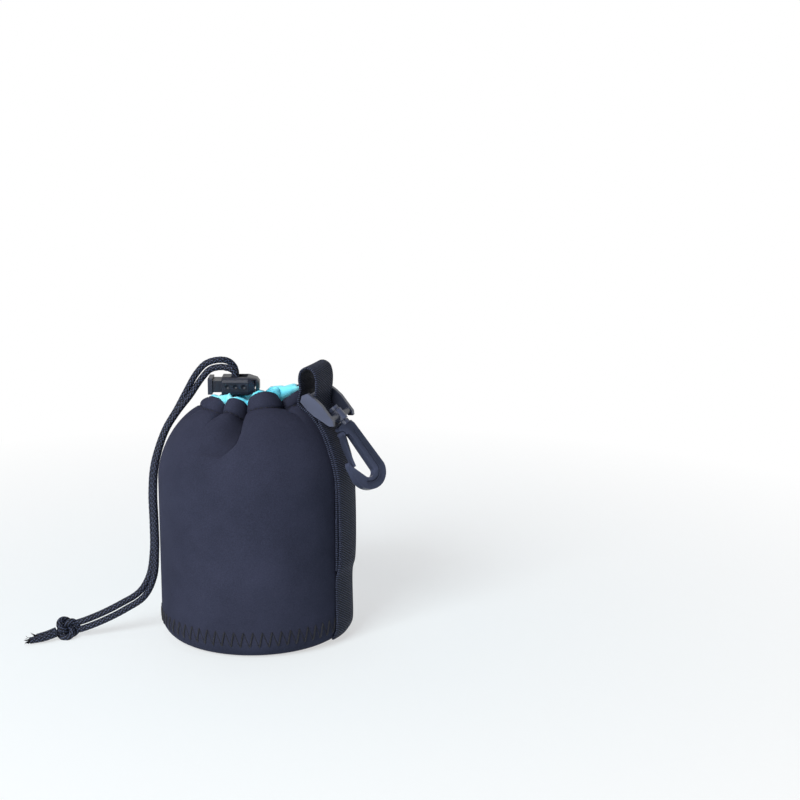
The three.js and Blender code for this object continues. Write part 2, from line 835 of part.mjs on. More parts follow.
// Direction in the strap plane, hanging down and out from the vertical
function hangingDirection(angle) {
  return strapPlanePoint(Math.sin(radians(angle)), 0, -Math.cos(radians(angle)));
}

function backBar() {
  const edge = rimEdge();
  return new THREE.Vector2(edge[0] + barDepth, edge[1] - barBelowRim);
}

// The boss stands off so far that the hook, as it hangs, clears the strap over the shoulder
function bossCentre() {
  const height = backBar().y - frameHeight;
  const nearest = hemHeight - shoulderBelowHem;
  const hangs = Math.tan(radians(plateAngle)) * (height - nearest);
  const halfWidth = hookBendRadius * plateBasis().side.dot(strapDirections().outward);
  return new THREE.Vector2(strapFaceAt(nearest) - hangs + halfWidth + hookClearance, height);
}

function bossMiddle() {
  const centre = bossCentre();
  return strapPlanePoint(centre.x, 0, centre.y);
}

function alongPin(distance) {
  return bossMiddle().addScaledVector(hangingDirection(pinAngle), distance);
}

function cheek(side) {
  const from = backBar();
  const to = bossCentre();
  const down = to.clone().sub(from).normalize();
  const out = new THREE.Vector2(-down.y, down.x);
  const length = from.distanceTo(to);
  const leaf = [
    [-cheekBackRadius, 0], [-cheekBackRadius / 2, cheekBackRadius], [length / 4, cheekWidth / 2],
    [length / 2, cheekWidth / 2], [length, cheekTipWidth / 2 + touchGap],
    [length + cheekTipLength / 2, cheekTipWidth / 2], [length + cheekTipLength, 0],
    [length + cheekTipLength / 2, -cheekTipWidth / 2], [length, -cheekTipWidth / 2 - touchGap],
    [length / 2, -cheekWidth / 2], [length / 4, -cheekWidth / 2],
    [-cheekBackRadius / 2, -cheekBackRadius],
  ];
  const edge = leaf.map((p) => from.clone().addScaledVector(down, p[0]).addScaledVector(out, p[1]));
  const geometry = new THREE.ExtrudeGeometry(new THREE.Shape(edge), {
    depth: cheekThickness,
    bevelEnabled: false,
  });
  geometry.translate(0, 0, -cheekThickness / 2);
  geometry.translate(0, 0, -side * ((strapWidth + cheekThickness) / 2 + cheekGap));
  return toSolid(placeInStrapPlane(geometry));
}

function crossBar(centre) {
  const reach = (strapWidth + cheekThickness) / 2 + cheekGap;
  const near = strapPlanePoint(centre.x, -reach, centre.y);
  const far = strapPlanePoint(centre.x, reach, centre.y);
  return roundBar(near, far, barRadius, roundSides / 2);
}

function hookFrame() {
  const bar = crossBar(backBar());
  const front = crossBar(bossCentre());
  const boss = roundBar(alongPin(-bossHeight / 2), alongPin(bossHeight / 2), bossRadius, roundSides);
  const bore = roundBar(alongPin(-bossHeight), alongPin(bossHeight), bossBoreRadius, roundSides);
  const solid = cheek(-1).add(cheek(1)).add(bar).add(front).add(boss).subtract(bore);
  return named('hook_frame', toGeometry(solid), plasticFinish());
}

// Flat hook parts are drawn as [sideways, down from the boss] and turned into place
function plateBasis() {
  const { along } = strapDirections();
  const down = hangingDirection(plateAngle);
  const away = new THREE.Vector3().crossVectors(down, along).negate();
  if (away.z < 0) away.negate();
  const turn = radians(plateTurn);
  const side = along.clone().multiplyScalar(Math.cos(turn)).addScaledVector(away, Math.sin(turn));
  const face = new THREE.Vector3().crossVectors(side, down);
  return { side, down, face };
}

function hookPlace(share) {
  return [hookWidth * share[0], hookLength * share[1]];
}

function hookShape() {
  const shape = new THREE.Shape();
  const windowCentre = hookPlace([windowSideShare, windowDownShare]);
  hookHeadShares.forEach((share, i) => {
    const point = hookPlace(share);
    if (i === 0) shape.moveTo(point[0], point[1]);
    else shape.lineTo(point[0], point[1]);
  });
  shape.absarc(0, hookBendHeight, hookBendRadius, 0, Math.PI, false);
  hookNoseShares.forEach((share) => shape.lineTo(...hookPlace(share)));
  shape.absarc(windowCentre[0], windowCentre[1], hookWindowRadius, radians(windowArcEnd), 0, true);
  hookInnerShares.forEach((share) => shape.lineTo(...hookPlace(share)));
  return shape;
}

function gateShape() {
  return new THREE.Shape(gateShares.map((share) => new THREE.Vector2(...hookPlace(share))));
}

function plateSolid(shape, thickness) {
  const geometry = new THREE.ExtrudeGeometry(shape, {
    depth: thickness,
    bevelEnabled: false,
    curveSegments: roundSides,
  });
  geometry.translate(0, 0, -thickness / 2);
  return toSolid(placeInPlate(geometry));
}

function placeInPlate(geometry) {
  const { side, down, face } = plateBasis();
  geometry.applyMatrix4(new THREE.Matrix4().makeBasis(side, down, face));
  const top = plateTop();
  return geometry.translate(top.x, top.y, top.z);
}

function plateTop() {
  const centre = bossCentre();
  return strapPlanePoint(centre.x + plateDepth, 0, centre.y);
}

function platePoint(sideways, downward, through) {
  const { side, down, face } = plateBasis();
  return plateTop()
    .addScaledVector(side, sideways)
    .addScaledVector(down, downward)
    .addScaledVector(face, through);
}

// Groove down the spine and round the bend, between the two ribs
function grooveTool(sign) {
  const through = (sign * plateThickness) / 2;
  const start = hookPlace(grooveStartShare);
  const points = [platePoint(start[0], start[1], through)];
  for (let i = 0; i <= grooveSteps; i += 1) {
    const angle = radians((grooveEndAngle * i) / grooveSteps);
    const sideways = grooveRadius * Math.cos(angle);
    points.push(platePoint(sideways, hookBendHeight + grooveRadius * Math.sin(angle), through));
  }
  return toSolid(sweptCord(points, 2 * grooveDepth, springSides));
}

function hookBody() {
  const neckTop = bossHeight / 2 + touchGap;
  const headBase = -bossHeight / 2 - touchGap;
  const pin = roundBar(alongPin(headBase - touchGap), alongPin(neckTop + neckLength), pinRadius, roundSides / 2);
  const headTop = headBase - pinHeadHeight;
  const head = roundBar(alongPin(headTop), alongPin(headBase), pinHeadRadius, roundSides / 2);
  const collar = roundBar(alongPin(neckTop), alongPin(neckTop + neckLength), pinHeadRadius, roundSides / 2);
  const knuckleSeat = gateKnuckle(plateThickness, gateKnuckleRadius + touchGap);
  let solid = plateSolid(hookShape(), plateThickness).add(pin).add(head).add(collar);
  solid = solid.subtract(knuckleSeat).subtract(grooveTool(1)).subtract(grooveTool(-1));
  return named('hook_body', toGeometry(solid), plasticFinish());
}

function gateKnuckle(reach, radius) {
  const root = hookPlace(gateRootShare);
  const near = platePoint(root[0], root[1], -reach);
  const far = platePoint(root[0], root[1], reach);
  return roundBar(near, far, radius, roundSides);
}

function hookGate() {
  const knuckle = gateKnuckle(gateThickness / 2, gateKnuckleRadius);
  const solid = plateSolid(gateShape(), gateThickness).add(knuckle);
  return named('hook_gate', toGeometry(solid), plasticFinish());
}

function lensPouch() {
  const group = new THREE.Group();
  group.name = 'lens_pouch';
  group.add(basePanel(), baseLining(), wallPanel(), wallLining(), webbingStrap());
  group.add(hemCord());
  group.add(cordLead('cord_lead_a', leadStartA, -1));
  group.add(cordLead('cord_lead_b', leadStartB, 1));
  group.add(cordKnot());
  group.add(cordTail('cord_tail_a', tailRouteA));
  group.add(cordTail('cord_tail_b', tailRouteB));
  group.add(lockBody(), lockPlunger(), lockSpring());
  group.add(hookFrame(), hookBody(), hookGate());
  return group;
}

export default lensPouch();
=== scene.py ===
"""Lens pouch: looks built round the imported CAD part, in metres, in the part's own frame."""

from __future__ import annotations

import logging
import math
from dataclasses import dataclass, field
from enum import Enum
from typing import Iterable, Sequence

import bpy
import numpy as np
from mathutils import Matrix, Vector

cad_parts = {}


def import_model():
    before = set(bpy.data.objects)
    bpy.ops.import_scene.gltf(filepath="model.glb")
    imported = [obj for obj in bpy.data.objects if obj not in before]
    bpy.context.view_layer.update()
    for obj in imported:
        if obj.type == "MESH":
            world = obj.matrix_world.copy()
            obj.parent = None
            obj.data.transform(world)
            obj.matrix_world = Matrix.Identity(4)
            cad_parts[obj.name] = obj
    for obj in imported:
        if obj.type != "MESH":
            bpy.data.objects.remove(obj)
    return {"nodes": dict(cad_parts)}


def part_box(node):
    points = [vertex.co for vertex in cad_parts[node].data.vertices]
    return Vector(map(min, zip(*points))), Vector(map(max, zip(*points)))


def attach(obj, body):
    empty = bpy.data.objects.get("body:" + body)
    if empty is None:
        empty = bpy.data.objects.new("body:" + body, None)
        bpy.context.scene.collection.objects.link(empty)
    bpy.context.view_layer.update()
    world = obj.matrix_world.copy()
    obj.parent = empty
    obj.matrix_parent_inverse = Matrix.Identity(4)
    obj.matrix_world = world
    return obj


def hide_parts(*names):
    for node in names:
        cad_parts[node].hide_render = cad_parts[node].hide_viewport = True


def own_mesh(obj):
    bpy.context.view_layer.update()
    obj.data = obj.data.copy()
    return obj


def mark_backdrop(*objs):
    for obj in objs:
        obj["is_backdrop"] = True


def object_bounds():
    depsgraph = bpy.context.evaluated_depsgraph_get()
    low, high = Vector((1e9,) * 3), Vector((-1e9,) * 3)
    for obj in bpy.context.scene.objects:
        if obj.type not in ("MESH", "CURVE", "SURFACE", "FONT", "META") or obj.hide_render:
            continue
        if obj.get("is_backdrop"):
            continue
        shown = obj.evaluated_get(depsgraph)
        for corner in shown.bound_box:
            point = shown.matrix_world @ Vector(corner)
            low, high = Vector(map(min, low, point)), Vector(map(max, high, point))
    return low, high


log = logging.getLogger("lens_pouch")

MM = 0.001
TINY = 1e-9
WHITE = (1.0, 1.0, 1.0, 1.0)
RELIEF = "relief"
Point = tuple[float, float, float]
Array = np.ndarray
Material = bpy.types.Material
Piece = bpy.types.Object


class Lay(Enum):
    """How a grid of points closes on itself."""

    ROUND = "round"
    TORUS = "torus"


# Shader maths


@dataclass
class Wire:
    """A number or colour that travels between shader nodes, with maths operators."""

    graph: Graph
    socket: bpy.types.NodeSocket

    def __add__(self, other: Wire | float) -> Wire:
        return self.graph.maths("ADD", self, other)

    def __sub__(self, other: Wire | float) -> Wire:
        return self.graph.maths("SUBTRACT", self, other)

    def __rsub__(self, other: float) -> Wire:
        return self.graph.maths("SUBTRACT", other, self)

    def __mul__(self, other: Wire | float) -> Wire:
        return self.graph.maths("MULTIPLY", self, other)

    def sin(self) -> Wire:
        """Sine of the value, in radians."""
        return self.graph.maths("SINE", self)

    def absolute(self) -> Wire:
        """The value without its sign."""
        return self.graph.maths("ABSOLUTE", self)

    def above(self, other: Wire | float) -> Wire:
        """One where the value is greater, and zero elsewhere."""
        return self.graph.maths("GREATER_THAN", self, other)


class Graph:
    """The node tree of a material or world, with short ways to add nodes and join them."""

    def __init__(self, owner: bpy.types.ID, output: str = "ShaderNodeOutputMaterial") -> None:
        owner.use_nodes = True
        self.owner = owner
        self.tree = owner.node_tree
        self.tree.nodes.clear()
        self.output = self.tree.nodes.new(output)

    @classmethod
    def of_material(cls, name: str) -> Graph:
        """The graph of a new material."""
        return cls(bpy.data.materials.new(name))

    def node(
        self, kind: str, settings: dict | None = None, sockets: dict | None = None
    ) -> bpy.types.Node:
        """Adds a node.

        Args:
            kind: Blender's type name for the node.
            settings: Attributes of the node itself.
            sockets: Values or wires for its inputs, by name or number.

        Returns:
            The new node.
        """
        made = self.tree.nodes.new(kind)
        for key, value in (settings or {}).items():
            setattr(made, key, value)
        for key, value in (sockets or {}).items():
            self.feed(made.inputs[key], value)
        return made

    def feed(self, socket: bpy.types.NodeSocket, value: object) -> None:
        """Joins a wire to a socket, or sets the socket's own value."""
        if isinstance(value, Wire):
            self.tree.links.new(value.socket, socket)
        else:
            socket.default_value = value

    def wire(self, node: bpy.types.Node, output: str | int = 0) -> Wire:
        """The wire that leaves a node's output."""
        return Wire(self, node.outputs[output])

    def maths(self, operation: str, first: Wire | float, second: Wire | float = 0.0) -> Wire:
        """One Math node."""
        return self.wire(self.node("ShaderNodeMath", {"operation": operation}, {0: first, 1: second}))

    def place(self, kind: str = "Object") -> Wire:
        """Texture coordinates of one kind."""
        return self.wire(self.node("ShaderNodeTexCoord"), kind)

    def split(self, vector: Wire) -> tuple[Wire, Wire, Wire]:
        """The three parts of a vector."""
        made = self.node("ShaderNodeSeparateXYZ", sockets={0: vector})
        return self.wire(made, 0), self.wire(made, 1), self.wire(made, 2)

    def stretch(self, vector: Wire, scale: Point) -> Wire:
        """A vector multiplied part by part."""
        made = self.node("ShaderNodeVectorMath", {"operation": "MULTIPLY"}, {0: vector, 1: scale})
        return self.wire(made)

    def noise(self, vector: Wire, scale: float, detail: float = 3.0, rough: float = 0.5) -> Wire:
        """Cloudy noise from 0 to 1."""
        sockets = {"Vector": vector, "Scale": scale, "Detail": detail, "Roughness": rough}
        return self.wire(self.node("ShaderNodeTexNoise", sockets=sockets))

    def wave(self, value: Wire, pitch: float) -> Wire:
        """A sine wave that repeats after each pitch."""
        return (value * (math.tau / pitch)).sin()

    def relief(self) -> Wire:
        """The value that a mesh stores at its points."""
        return self.wire(self.node("ShaderNodeAttribute", {"attribute_name": RELIEF}), "Fac")

    def ray(self, kind: str) -> Wire:
        """One for light rays of a kind, and zero for others."""
        return self.wire(self.node("ShaderNodeLightPath"), f"Is {kind} Ray")

    def ramp(
        self, value: Wire, low: float, high: float, to_low: float = 0.0, to_high: float = 1.0
    ) -> Wire:
        """Maps low..high to to_low..to_high, held at both ends."""
        sockets = {0: value, 1: low, 2: high, 3: to_low, 4: to_high}
        return self.wire(self.node("ShaderNodeMapRange", sockets=sockets))

    def blend(
        self, share: Wire | float, first: Sequence[float] | Wire, second: Sequence[float] | Wire
    ) -> Wire:
        """A colour between two colours."""
        made = self.node("ShaderNodeMix", {"data_type": "RGBA"}, {0: share, 6: first, 7: second})
        return self.wire(made, 2)

    def bump(self, height: Wire, distance: float, strength: float) -> Wire:
        """A normal from a height in units of distance."""
        sockets = {"Strength": strength, "Distance": distance, "Height": height}
        return self.wire(self.node("ShaderNodeBump", sockets=sockets))

    def mixed(self, share: Wire, first: bpy.types.Node, second: bpy.types.Node) -> bpy.types.ID:
        """Ends the graph in a mix of two shaders, and returns its owner."""
        sockets = {0: share, 1: self.wire(first), 2: self.wire(second)}
        self.feed(self.output.inputs[0], self.wire(self.node("ShaderNodeMixShader", sockets=sockets)))
        return self.owner

    def surface(self, **sockets: object) -> Material:
        """Ends the graph in one Principled shader.

        Args:
            sockets: Inputs by name, with underscores for spaces.

        Returns:
            The finished material.
        """
        shader = self.node("ShaderNodeBsdfPrincipled")
        for key, value in sockets.items():
            self.feed(shader.inputs[key.replace("_", " ")], value)
        self.feed(self.output.inputs[0], self.wire(shader))
        return self.owner


def tint(red: int, green: int, blue: int) -> tuple[float, float, float, float]:
    """An sRGB colour in 0..255 as the linear colour that a shader takes."""

    def linear(value: int) -> float:
        share = value / 255
        return share / 12.92 if share <= 0.04045 else ((share + 0.055) / 1.055) ** 2.4

    return linear(red), linear(green), linear(blue), 1.0


# Finishes


@dataclass(frozen=True)
class Neoprene:
    """Knit-faced foam: fine rows of loops, with soft light patches, and painted shade in the pocket left of
    the front fold.
    """

    lit: tuple = tint(58, 60, 78)
    shade: tuple = tint(42, 44, 58)
    deep: tuple = tint(18, 19, 28)
    stitch_pitch: float = 0.62 * MM

    def build(self) -> Material:
        """Makes the material."""
        graph = Graph.of_material("neoprene_knit")
        across, along, _ = graph.split(graph.place("UV"))
        column = graph.wave(across, self.stitch_pitch)
        row = (along * (math.tau / self.stitch_pitch) + column * 0.7).sin()
        knit = (column.absolute() * 0.6 + row * 0.4) * 0.5
        fuzz = graph.noise(graph.place(), 1900, 4, 0.7)
        patch = graph.noise(graph.place(), 38, 3, 0.55)
        pale = graph.ramp(fuzz * 0.6 + patch * 0.4, 0.34, 0.66)
        colour = graph.blend(pale, self.shade, self.lit)
        # painted shade: the deep colour darkens the pocket left of the front fold, by the fold depth that the
        # shell stores as relief
        colour = graph.blend(graph.ramp(graph.relief(), 0.0, 1.0, 0.0, 0.6), colour, self.deep)
        return graph.surface(
            Base_Color=colour,
            Roughness=graph.ramp(fuzz, 0.3, 0.7, 0.78, 0.95),
            Sheen_Weight=0.05,
            Sheen_Roughness=0.4,
            Sheen_Tint=tint(150, 155, 200),
            Specular_IOR_Level=0.06,
            Normal=graph.bump(knit * 0.5 + fuzz * 0.8, 0.09 * MM, 0.55),
        )


@dataclass(frozen=True)
class Lining:
    """Thin brushed knit in a bright sky blue."""

    lit: tuple = tint(158, 246, 255)
    shade: tuple = tint(96, 228, 255)
    pitch: float = 0.5 * MM

    def build(self) -> Material:
        """Makes the material."""
        graph = Graph.of_material("lining_knit")
        across, along, _ = graph.split(graph.place("UV"))
        rows = graph.wave(along, self.pitch) * graph.wave(across, self.pitch)
        fuzz = graph.noise(graph.place(), 1500, 3, 0.6)
        patch = graph.noise(graph.place(), 90, 2, 0.5)
        colour = graph.blend(graph.ramp(patch, 0.35, 0.65), self.shade, self.lit)
        return graph.surface(
            Base_Color=colour,
            Roughness=graph.ramp(fuzz, 0.3, 0.7, 0.7, 0.9),
            Sheen_Weight=0.25,
            Sheen_Roughness=0.5,
            Normal=graph.bump(rows * 0.3 + fuzz * 0.6, 0.08 * MM, 0.6),
        )


@dataclass(frozen=True)
class Webbing:
    """Ribbed polypropylene webbing with slanting ribs and a plain woven edge, with painted shade in the
    grooves.
    """

    thread: tuple = tint(68, 74, 97)
    painted_gap_shade: tuple = tint(9, 10, 16)
    rib_pitch: float = 1.15 * MM
    yarn_pitch: float = 0.55 * MM
    slant: float = 0.55
    edge: float = 8.9 * MM

    def build(self) -> Material:
        """Makes the material. U runs along the strap and V across it, from its middle."""
        graph = Graph.of_material("webbing_ribs")
        along, across, _ = graph.split(graph.place("UV"))
        rib = graph.wave(along + across * self.slant, self.rib_pitch)
        yarn = graph.wave(across - along * 0.15, self.yarn_pitch).absolute()
        selvedge = across.absolute().above(self.edge)
        edge_rib = graph.wave(along, self.rib_pitch * 0.8)
        ribs = rib * (1.0 - selvedge) + edge_rib * selvedge
        fuzz = graph.noise(graph.place(), 1400, 3, 0.6)
        height = ribs * 0.5 + yarn * 0.35 + fuzz * 0.25
        # painted shade: the colour darkens towards the gap colour in the grooves between ribs and yarns
        pale = graph.ramp(ribs * 0.5 + yarn * 0.3 + fuzz * 0.4, 0.05, 0.85)
        return graph.surface(
            Base_Color=graph.blend(pale, self.painted_gap_shade, self.thread),
            Roughness=graph.ramp(fuzz, 0.3, 0.7, 0.6, 0.82),
            Specular_IOR_Level=0.2,
            Normal=graph.bump(height, 0.22 * MM, 0.9),
        )


@dataclass(frozen=True)
class Braid:
    """Round braided cord: dark glossy yarns, with painted highlight on their crowns and painted shade in the
    gaps between them.
    """

    crown: tuple = tint(92, 101, 132)
    painted_gap_shade: tuple = tint(8, 10, 17)

    def build(self) -> Material:
        """Makes the material. The mesh stores how high each point of its yarns is."""
        graph = Graph.of_material("braided_cord")
        fuzz = graph.noise(graph.place(), 2600, 3, 0.6)
        # painted light: paler on the yarns' crowns, darker in the gaps between yarns
        pale = graph.ramp(graph.relief() * 0.85 + fuzz * 0.3, 0.78, 1.08)
        return graph.surface(
            Base_Color=graph.blend(pale, self.painted_gap_shade, self.crown),
            Roughness=graph.ramp(fuzz, 0.3, 0.7, 0.55, 0.78),
            Specular_IOR_Level=0.25,
            Normal=graph.bump(fuzz, 0.06 * MM, 0.5),
        )


@dataclass(frozen=True)
class Plastic:
    """Satin moulded plastic with fine grain and paler edges, which are a painted highlight."""

    name: str = "satin_plastic"
    body: tuple = tint(48, 52, 67)
    painted_edge_highlight: tuple = tint(84, 90, 114)
    gloss: float = 0.32

    def build(self) -> Material:
        """Makes the material."""
        graph = Graph.of_material(self.name)
        place = graph.place()
        grain = graph.noise(place, 3200, 2, 0.5)
        cloud = graph.noise(place, 140, 4, 0.6)
        edge = graph.wire(graph.node("ShaderNodeNewGeometry"), "Pointiness")
        # painted highlight: the colour turns paler on sharp convex edges, and also in random clouds
        edge_highlight_share = graph.ramp(edge, 0.52, 0.62)
        low, high = self.gloss - 0.07, self.gloss + 0.12
        return graph.surface(
            Base_Color=graph.blend(edge_highlight_share * 0.6 + cloud * 0.2, self.body, self.painted_edge_highlight),
            Roughness=graph.ramp(cloud * 0.7 + grain * 0.3, 0.3, 0.7, low, high),
            Specular_IOR_Level=0.5,
            Normal=graph.bump(grain, 0.02 * MM, 0.4),
        )


@dataclass(frozen=True)
class Thread:
    """Sewing thread, twisted in two plies, with painted highlight on the ply crowns and painted shade between
    them.
    """

    body: tuple = tint(10, 10, 15)
    crown: tuple = tint(33, 35, 47)
    twist: float = 0.35 * MM

    def build(self) -> Material:
        """Makes the material."""
        graph = Graph.of_material("sewing_thread")
        x, y, z = graph.split(graph.place())
        twist = graph.wave(x + y + z * 2.0, self.twist)
        return graph.surface(
            # painted light: paler on the plies' crowns, darker between them, along the twist
            Base_Color=graph.blend(graph.ramp(twist, -1.0, 1.0), self.body, self.crown),
            Roughness=graph.ramp(twist, -1.0, 1.0, 0.55, 0.75),
            Normal=graph.bump(twist, 0.05 * MM, 0.5),
        )


@dataclass(frozen=True)
class Steel:
    """Bright drawn spring wire."""

    def build(self) -> Material:
        """Makes the material."""
        graph = Graph.of_material("spring_wire")
        scratch = graph.noise(graph.stretch(graph.place(), (400.0, 4000.0, 4000.0)), 1.0, 3, 0.6)
        return graph.surface(
            Base_Color=graph.blend(scratch, tint(150, 152, 158), tint(205, 207, 212)),
            Metallic=1.0,
            Roughness=graph.ramp(scratch, 0.3, 0.7, 0.22, 0.42),
        )


@dataclass(frozen=True)
class Paper:
    """Plain studio floor and backdrop, white to the camera and to gloss."""

    name: str
    colour: tuple
    fade: tuple = (0.1, 0.42)

    def build(self, share: float) -> Material:
        """Makes the material.

        Args:
            share: How much of the plain white replaces the paper's own shading near the pouch.

        Returns:
            The material.
        """
        graph = Graph.of_material(self.name)
        paper = graph.node("ShaderNodeBsdfDiffuse", sockets={0: self.colour})
        white = graph.node("ShaderNodeEmission", sockets={0: WHITE, 1: 1.0})
        far = graph.node("ShaderNodeVectorMath", {"operation": "LENGTH"}, {0: graph.place()})
        plain = graph.ramp(graph.wire(far, "Value"), *self.fade, share, 1.0)
        return graph.mixed((graph.ray("Camera") + graph.ray("Glossy")) * plain, paper, white)


# Mesh helpers


def add_object(name: str, data: bpy.types.ID, material: Material) -> Piece:
    """Links a new object that wears one material."""
    made = bpy.data.objects.new(name, data)
    bpy.context.scene.collection.objects.link(made)
    data.materials.append(material)
    return made


def smooth_mesh(name: str, vertices: list, faces: list) -> bpy.types.Mesh:
    """A mesh with smooth shading."""
    mesh = bpy.data.meshes.new(name)
    mesh.from_pydata(vertices, [], faces)
    mesh.shade_smooth()
    return mesh


def grid_mesh(
    name: str,
    grid: Array,
    lay: Lay,
    uv: Array | None = None,
    caps: bool = False,
    relief: Array | None = None,
) -> bpy.types.Mesh:
    """A smooth mesh from a grid of points.

    Args:
        name: Name of the mesh.
        grid: Points, rows by columns by 3.
        lay: ROUND joins the last column to the first, TORUS also the last row.
        uv: Texture places, rows by columns by 2, in metres.
        caps: Closes the first and last row with a face.
        relief: A value for each point, from 0 to 1: height of a yarn, or depth in a fold, from which the
            finishes paint light and shade.

    Returns:
        The mesh.
    """
    rows, columns = grid.shape[:2]
    faces, corners = [], []
    for i in range(rows if lay is Lay.TORUS else rows - 1):
        for j in range(columns):
            k, m = (i + 1) % rows, (j + 1) % columns
            faces.append((i * columns + j, i * columns + m, k * columns + m, k * columns + j))
            corners.append(((i, j), (i, j + 1), (i + 1, j + 1), (i + 1, j)))
    if caps:
        faces.append(tuple(range(columns))[::-1])
        faces.append(tuple((rows - 1) * columns + j for j in range(columns)))
    mesh = smooth_mesh(name, grid.reshape(-1, 3).tolist(), faces)
    if uv is not None:
        layer = mesh.uv_layers.new(name="UVMap")
        for polygon, places in zip(mesh.polygons, corners):
            for loop, (i, j) in zip(polygon.loop_indices, places):
                layer.data[loop].uv = uv[min(i, uv.shape[0] - 1), min(j, uv.shape[1] - 1)]
    if relief is not None:
        attribute = mesh.attributes.new(RELIEF, "FLOAT", "POINT")
        attribute.data.foreach_set("value", relief.reshape(-1).astype(np.float32))
    return mesh


def unit(rows: Array) -> Array:
    """Each row at a length of one."""
    return rows / np.linalg.norm(rows, axis=-1, keepdims=True)


def travelled(line: Array) -> Array:
    """Distance along a line at each of its points."""
    return np.concatenate([[0], np.cumsum(np.linalg.norm(np.diff(line, axis=0), axis=1))])


def points_at(line: Array, at: Array) -> Array:
    """The points of a line at some distances along it."""
    reach = travelled(line)
    return np.stack([np.interp(at, reach, line[:, k]) for k in range(3)], axis=1)


def between(t: float, low: float, high: float, first: Array, last: Array) -> Array:
    """The point on the way from first to last, as t goes from low to high."""
    return (high - t) / (high - low) * first + (t - low) / (high - low) * last


def smooth_line(points: Sequence[Sequence[float]], step: float, samples: int = 24) -> Array:
    """A centripetal Catmull-Rom line through points, resampled at an even step."""
    p = np.array(points, float)
    p = np.vstack([2 * p[0] - p[1], p, 2 * p[-1] - p[-2]])
    out = []
    for k in range(1, len(p) - 2):
        a, b, c, d = p[k - 1 : k + 3]
        spans = [max(np.linalg.norm(end - start) ** 0.5, TINY) for start, end in ((a, b), (b, c), (c, d))]
        t0, t1, t2, t3 = np.concatenate([[0.0], np.cumsum(spans)])
        for t in np.linspace(t1, t2, samples, endpoint=False):
            near, here, after = between(t, t0, t1, a, b), between(t, t1, t2, b, c), between(t, t2, t3, c, d)
            out.append(between(t, t1, t2, between(t, t0, t2, near, here), between(t, t1, t3, here, after)))
    out.append(p[-2])
    line = np.array(out)
    length = travelled(line)[-1]
    return points_at(line, np.linspace(0, length, max(int(round(length / step)), 2) + 1))


def frames_along(line: Array, first: Sequence[float] = (0.0, 1.0, 0.0)) -> tuple[Array, Array]:
    """Two directions across a line, carried along it without twist."""
    tangent = unit(np.gradient(line, axis=0))
    across = np.zeros_like(line)
    current = np.array(first, float)
    for i, t in enumerate(tangent):
        current = unit(current - np.dot(current, t) * t)
        across[i] = current
    return across, np.cross(tangent, across)


def revolved(radius: Array, height: Array, turned: Array) -> Array:
    """Points at a radius and a height, turned from -Y towards +X in radians."""
    return np.stack([radius * np.sin(turned), -radius * np.cos(turned), height], axis=-1)


def directions(columns: int) -> Array:
    """Even directions round the pouch, in degrees."""
    return np.linspace(0, 360, columns, endpoint=False)


def profile(rows: Sequence[tuple], columns: int) -> tuple[Array, Array]:
    """Radii and heights of rows that each hold one value, or one for every direction."""
    return tuple(np.array([np.broadcast_to(value, columns) for value in part]) for part in zip(*rows))


def moved_in(radius: Array, height: Array, depth: Array | float) -> tuple[Array, Array]:
    """A profile moved inwards by a depth, square to itself."""
    across, up = np.gradient(radius, axis=0), np.gradient(height, axis=0)
    length = np.maximum(np.hypot(across, up), TINY)
    return radius - up / length * depth, height + across / length * depth


def cloth_places(radius: Array, height: Array, turned: Array, around: float) -> Array:
    """Texture places of a revolved cloth: distance round it, at the radius around, and up its profile."""
    reach = np.hypot(np.diff(radius, axis=0), np.diff(height, axis=0))
    along = np.vstack([np.zeros_like(turned), np.cumsum(reach, axis=0)])
    return np.stack([np.broadcast_to(turned * around, along.shape), along], axis=2)


def braid_relief(angle: Array, along: Array, radius: float) -> Array:
    """Height from 0 to 1 of a round braid's yarns, each passing over and under."""
    turns, pitch = 6, 9.5 * radius / 1.5
    left = angle * turns / 2 + along / pitch * math.tau * 2
    right = angle * turns / 2 - along / pitch * math.tau * 2
    over = np.sin(left) * np.sin(right)
    first = np.abs(np.cos(left))
    second = np.abs(np.cos(right))
    return np.where(over > 0, first, second) ** 0.7


def braided_tube(
    line: Array, across: Array, other: Array, along: Array, radius: float, sides: int
) -> tuple[Array, Array]:
    """Points of a braided tube round a line, and how high each one lies on its yarn."""
    angle = np.arange(sides) / sides * math.tau
    relief = braid_relief(angle[None, :], along[:, None], radius)
    ring = radius * (0.93 + 0.1 * relief)
    cosine, sine = (np.cos(angle) * ring)[..., None], (np.sin(angle) * ring)[..., None]
    return line[:, None, :] + across[:, None, :] * cosine + other[:, None, :] * sine, relief


def cord_mesh(name: str, line: Array, radius: float, sides: int = 20) -> bpy.types.Mesh:
    """A braided tube along an even line, with its yarns raised."""
    along = np.arange(len(line)) * float(np.linalg.norm(line[1] - line[0]))
    grid, relief = braided_tube(line, *frames_along(line), along, radius, sides)
    return grid_mesh(name, grid, Lay.ROUND, caps=True, relief=relief)


